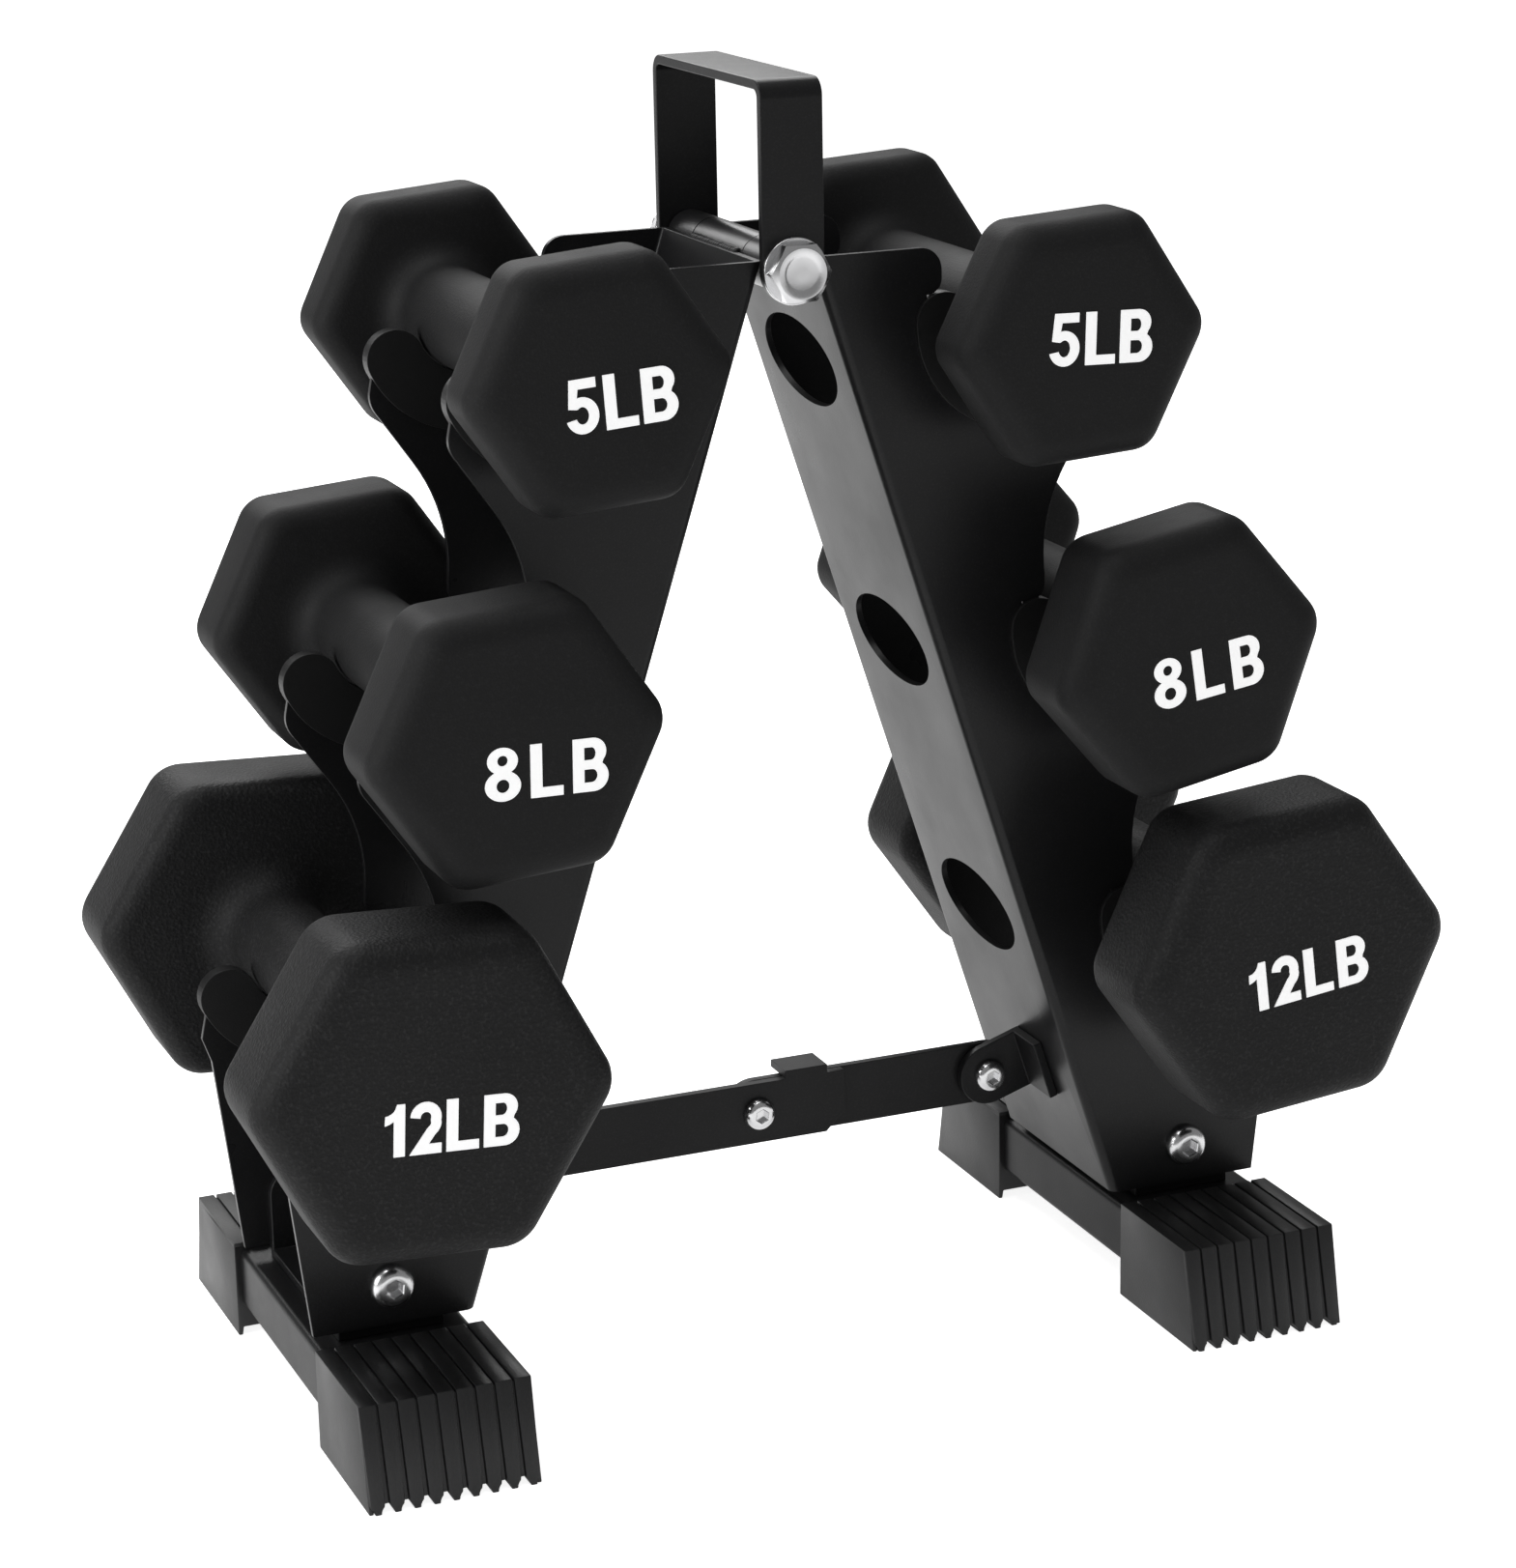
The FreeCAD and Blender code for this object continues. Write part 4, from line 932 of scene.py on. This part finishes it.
class RACK_OT_fasteners(bpy.types.Operator):
    """Makes the bolts and finishes the washers and nuts."""
    bl_idname = "rack.fasteners"
    bl_label = "Fasteners"

    def execute(self, context):
        zinc = finish("bright zinc")
        nodes = ["pivot_nut", "pivot_washers", "middle_nut"] + both_sides("leg_nuts", "stay_nut")
        soften_group(nodes, "bright zinc", context.scene.rack_edges.zinc_edge)
        for node in both_sides("leg_bolts"):
            low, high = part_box(node)
            seat = low.y + LEG_BOLT["head"]
            mesh = button_bolt(node + "_shape", shank=LEG_BOLT_SHANK, **LEG_BOLT)
            first = ((low.x + high.x) / 2, seat, (low.z + high.z) / 2)
            piece = row_of(node + "_finished", mesh, zinc, Count=2, First=first, Step=(0.0, -2 * seat, 0.0),
                           Turn=math.pi)
            stand_for(piece, node)
        for node in ["middle_bolt"] + both_sides("stay_bolt"):
            low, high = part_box(node)
            turned = node.startswith("left")
            mesh = button_bolt(node + "_finished", shank=high.y - low.y - STAY_BOLT["head"], **STAY_BOLT)
            place_bolt(mesh, node, STAY_BOLT["head"], turned)
        low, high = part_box("pivot_bolt")
        mesh = hex_bolt("pivot_bolt_finished", shank=high.y - low.y - HEX_BOLT["head"], **HEX_BOLT)
        place_bolt(mesh, "pivot_bolt", HEX_BOLT["head"], False)
        return {"FINISHED"}


def place_bolt(mesh, node, head, turned):
    """Sets a single bolt where its CAD node is; a turned one has its head at the back."""
    low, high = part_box(node)
    seat = high.y - head if turned else low.y + head
    place = Matrix.Translation(((low.x + high.x) / 2, seat, (low.z + high.z) / 2))
    mesh.transform(place @ Matrix.Rotation(math.pi if turned else 0.0, 4, "Z"))
    mesh.materials.append(finish("bright zinc"))
    stand_for(link_object(mesh.name, mesh), node)


class RACK_OT_finishes(bpy.types.Operator):
    """Mixes the finishes and gives the iron cores theirs."""
    bl_idname = "rack.finishes"
    bl_label = "Finishes"

    def execute(self, context):
        colours = context.scene.rack_colours
        groups = {"grain": build_grain_group(), "dust": build_dust_group(), "rub": build_rub_group()}
        coated_metal("powder coat", colours.powder, groups, low=0.26, high=0.38, specular=0.24, dust=0.05)
        coated_metal("tube coat", colours.powder, groups, low=0.30, high=0.42, specular=0.18, dust=0.06)
        coated_metal("stay coat", colours.powder, groups, low=0.38, high=0.5, specular=0.2, dust=0.05)
        coated_metal("barrel coat", colours.powder, groups, low=0.24, high=0.34, specular=0.5, dust=0.05)
        moulded_rubber("smooth coat", colours.coat, groups, scale=1300.0, low=0.56, high=0.68, relief=0.25,
                       dust=0.15, specular=0.15, speckle=0.12)
        moulded_rubber("pebbled coat", colours.coat, groups, scale=900.0, low=0.5, high=0.62, relief=0.7,
                       dust=0.15, specular=0.16, speckle=0.3)
        moulded_rubber("hook pad", colours.pad, groups, scale=1600.0, low=0.38, high=0.5, relief=0.1,
                       dust=0.05, specular=0.35, speckle=0.08)
        moulded_rubber("cap rubber", colours.rubber, groups, scale=1300.0, low=0.36, high=0.5, relief=0.12,
                       dust=0.1, specular=0.5, speckle=0.1)
        bright_zinc("bright zinc", colours.zinc, groups)
        mark_paint_with_glow("mark paint with painted glow", colours.mark, groups)
        iron = cast_iron("raw iron", groups)
        for node in both_sides("5_core", "8_core", "12_core"):
            mesh = frame["nodes"][node].data
            mesh.materials.clear()
            mesh.materials.append(iron)
        return {"FINISHED"}


# ---------------------------------------------------------------- stage

# Each soft box: where it hangs, what it faces, its side in metres and its power in watts.
SOFT_BOXES = {
    "sweep": ((0.0, 1.3, 1.3), (0.0, 0.5, 0.0), 1.6, 26.0),
    "overhead": ((-0.3, -0.1, 1.7), (0.0, 0.0, 0.2), 1.0, 9.0),
    "left": ((-1.6, -0.2, 0.7), (0.0, 0.0, 0.2), 0.9, 14.0),
}
# The floor's half width, its own glow and how much more of it the camera sees, and the world's strength as a light.
FLOOR_HALF = 6.0
FLOOR_GLOW = 0.38
FLOOR_GLOW_SEEN = 0.5
WORLD_LIGHT = 0.24
SENSOR_HEIGHT = 36.0


def soft_box(name, place, aim, size, power):
    """A square area light that faces a spot."""
    data = bpy.data.lights.new(name, "AREA")
    data.size = size
    data.energy = power
    item = bpy.data.objects.new(name, data)
    bpy.context.scene.collection.objects.link(item)
    item.location = place
    item.rotation_euler = (Vector(aim) - Vector(place)).to_track_quat("-Z", "Y").to_euler()


def lay_floor():
    """A plain pale floor that lights the rack a little from below."""
    bm = bmesh.new()
    bmesh.ops.create_grid(bm, x_segments=1, y_segments=1, size=FLOOR_HALF)
    mesh = bpy.data.meshes.new("floor")
    bm.to_mesh(mesh)
    bm.free()
    material, tree, shader = new_finish("studio floor")
    shader.inputs["Base Color"].default_value = (0.9, 0.9, 0.9, 1)
    shader.inputs["Roughness"].default_value = 0.8
    shader.inputs["Emission Color"].default_value = (1, 1, 1, 1)
    path = tree.nodes.new("ShaderNodeLightPath")
    seen = math_node(tree, "MULTIPLY", path.outputs["Is Camera Ray"], FLOOR_GLOW_SEEN)
    glow = math_node(tree, "ADD", seen, FLOOR_GLOW)
    tree.links.new(glow, shader.inputs["Emission Strength"])
    mesh.materials.append(material)
    link_object("floor", mesh)


def light_world():
    """White where the camera looks past the rack, dimmer as a light."""
    world = bpy.data.worlds.new("studio")
    bpy.context.scene.world = world
    world.use_nodes = True
    tree = world.node_tree
    back = tree.nodes["Background"]
    path = tree.nodes.new("ShaderNodeLightPath")
    mix = tree.nodes.new("ShaderNodeMix")
    mix.data_type = "RGBA"
    mix.inputs["A"].default_value = (WORLD_LIGHT, WORLD_LIGHT, WORLD_LIGHT, 1)
    mix.inputs["B"].default_value = (1, 1, 1, 1)
    tree.links.new(path.outputs["Is Camera Ray"], mix.inputs["Factor"])
    tree.links.new(mix.outputs["Result"], back.inputs["Color"])


def place_camera(stage):
    """Sets the camera on its sphere about the aim, leaned by the roll."""
    a, e, roll = stage.azimuth, stage.elevation, stage.roll
    back = Vector((math.sin(a) * math.cos(e), -math.cos(a) * math.cos(e), math.sin(e)))
    right = Vector((math.cos(a), math.sin(a), 0.0))
    up = back.cross(right)
    turned = right * math.cos(roll) + up * math.sin(roll)
    up = up * math.cos(roll) - right * math.sin(roll)
    data = bpy.data.cameras.new("camera")
    data.sensor_fit = "VERTICAL"
    data.sensor_height = SENSOR_HEIGHT
    data.lens = stage.lens
    camera = bpy.data.objects.new("camera", data)
    bpy.context.scene.collection.objects.link(camera)
    place = Vector(stage.aim) + back * stage.distance
    camera.matrix_world = Matrix((
        (turned.x, up.x, back.x, place.x), (turned.y, up.y, back.y, place.y),
        (turned.z, up.z, back.z, place.z), (0, 0, 0, 1)))
    bpy.context.scene.camera = camera


class RACK_OT_stage(bpy.types.Operator):
    """Lays the floor, sets the lights and places the camera."""
    bl_idname = "rack.stage"
    bl_label = "Stage"

    def execute(self, context):
        lay_floor()
        light_world()
        for name, (place, aim, size, power) in SOFT_BOXES.items():
            soft_box(name, place, aim, size, power)
        place_camera(context.scene.rack_stage)
        context.scene.view_settings.view_transform = "Standard"
        return {"FINISHED"}


# ---------------------------------------------------------------- add-on

class RACK_PT_panel(bpy.types.Panel):
    """Lists the rack's steps and settings."""
    bl_idname = "RACK_PT_panel"
    bl_label = "Dumbbell rack"
    bl_space_type = "VIEW_3D"
    bl_region_type = "UI"
    bl_category = "Rack"

    def draw(self, context):
        for step in STEPS:
            self.layout.operator(step.bl_idname)
        for group in ("rack_colours", "rack_edges", "rack_dumbbells", "rack_stage"):
            settings = getattr(context.scene, group)
            for name in settings.__annotations__:
                self.layout.prop(settings, name)


STEPS = (RACK_OT_finishes, RACK_OT_steel, RACK_OT_pads, RACK_OT_fasteners, RACK_OT_weights, RACK_OT_marks,
         RACK_OT_stage)
GROUPS = (("rack_colours", RackColours), ("rack_edges", SheetSettings), ("rack_dumbbells", DumbbellSettings),
          ("rack_stage", StageSettings))


def register():
    for name, group in GROUPS:
        bpy.utils.register_class(group)
        setattr(bpy.types.Scene, name, bpy.props.PointerProperty(type=group))
    for step in STEPS:
        bpy.utils.register_class(step)
    bpy.utils.register_class(RACK_PT_panel)


def unregister():
    bpy.utils.unregister_class(RACK_PT_panel)
    for step in reversed(STEPS):
        bpy.utils.unregister_class(step)
    for name, group in reversed(GROUPS):
        delattr(bpy.types.Scene, name)
        bpy.utils.unregister_class(group)


def main():
    register()
    bpy.ops.rack.finishes()
    bpy.ops.rack.steel()
    bpy.ops.rack.pads()
    bpy.ops.rack.fasteners()
    bpy.ops.rack.weights()
    bpy.ops.rack.marks()
    bpy.ops.rack.stage()


if __name__ == "__main__":
    main()
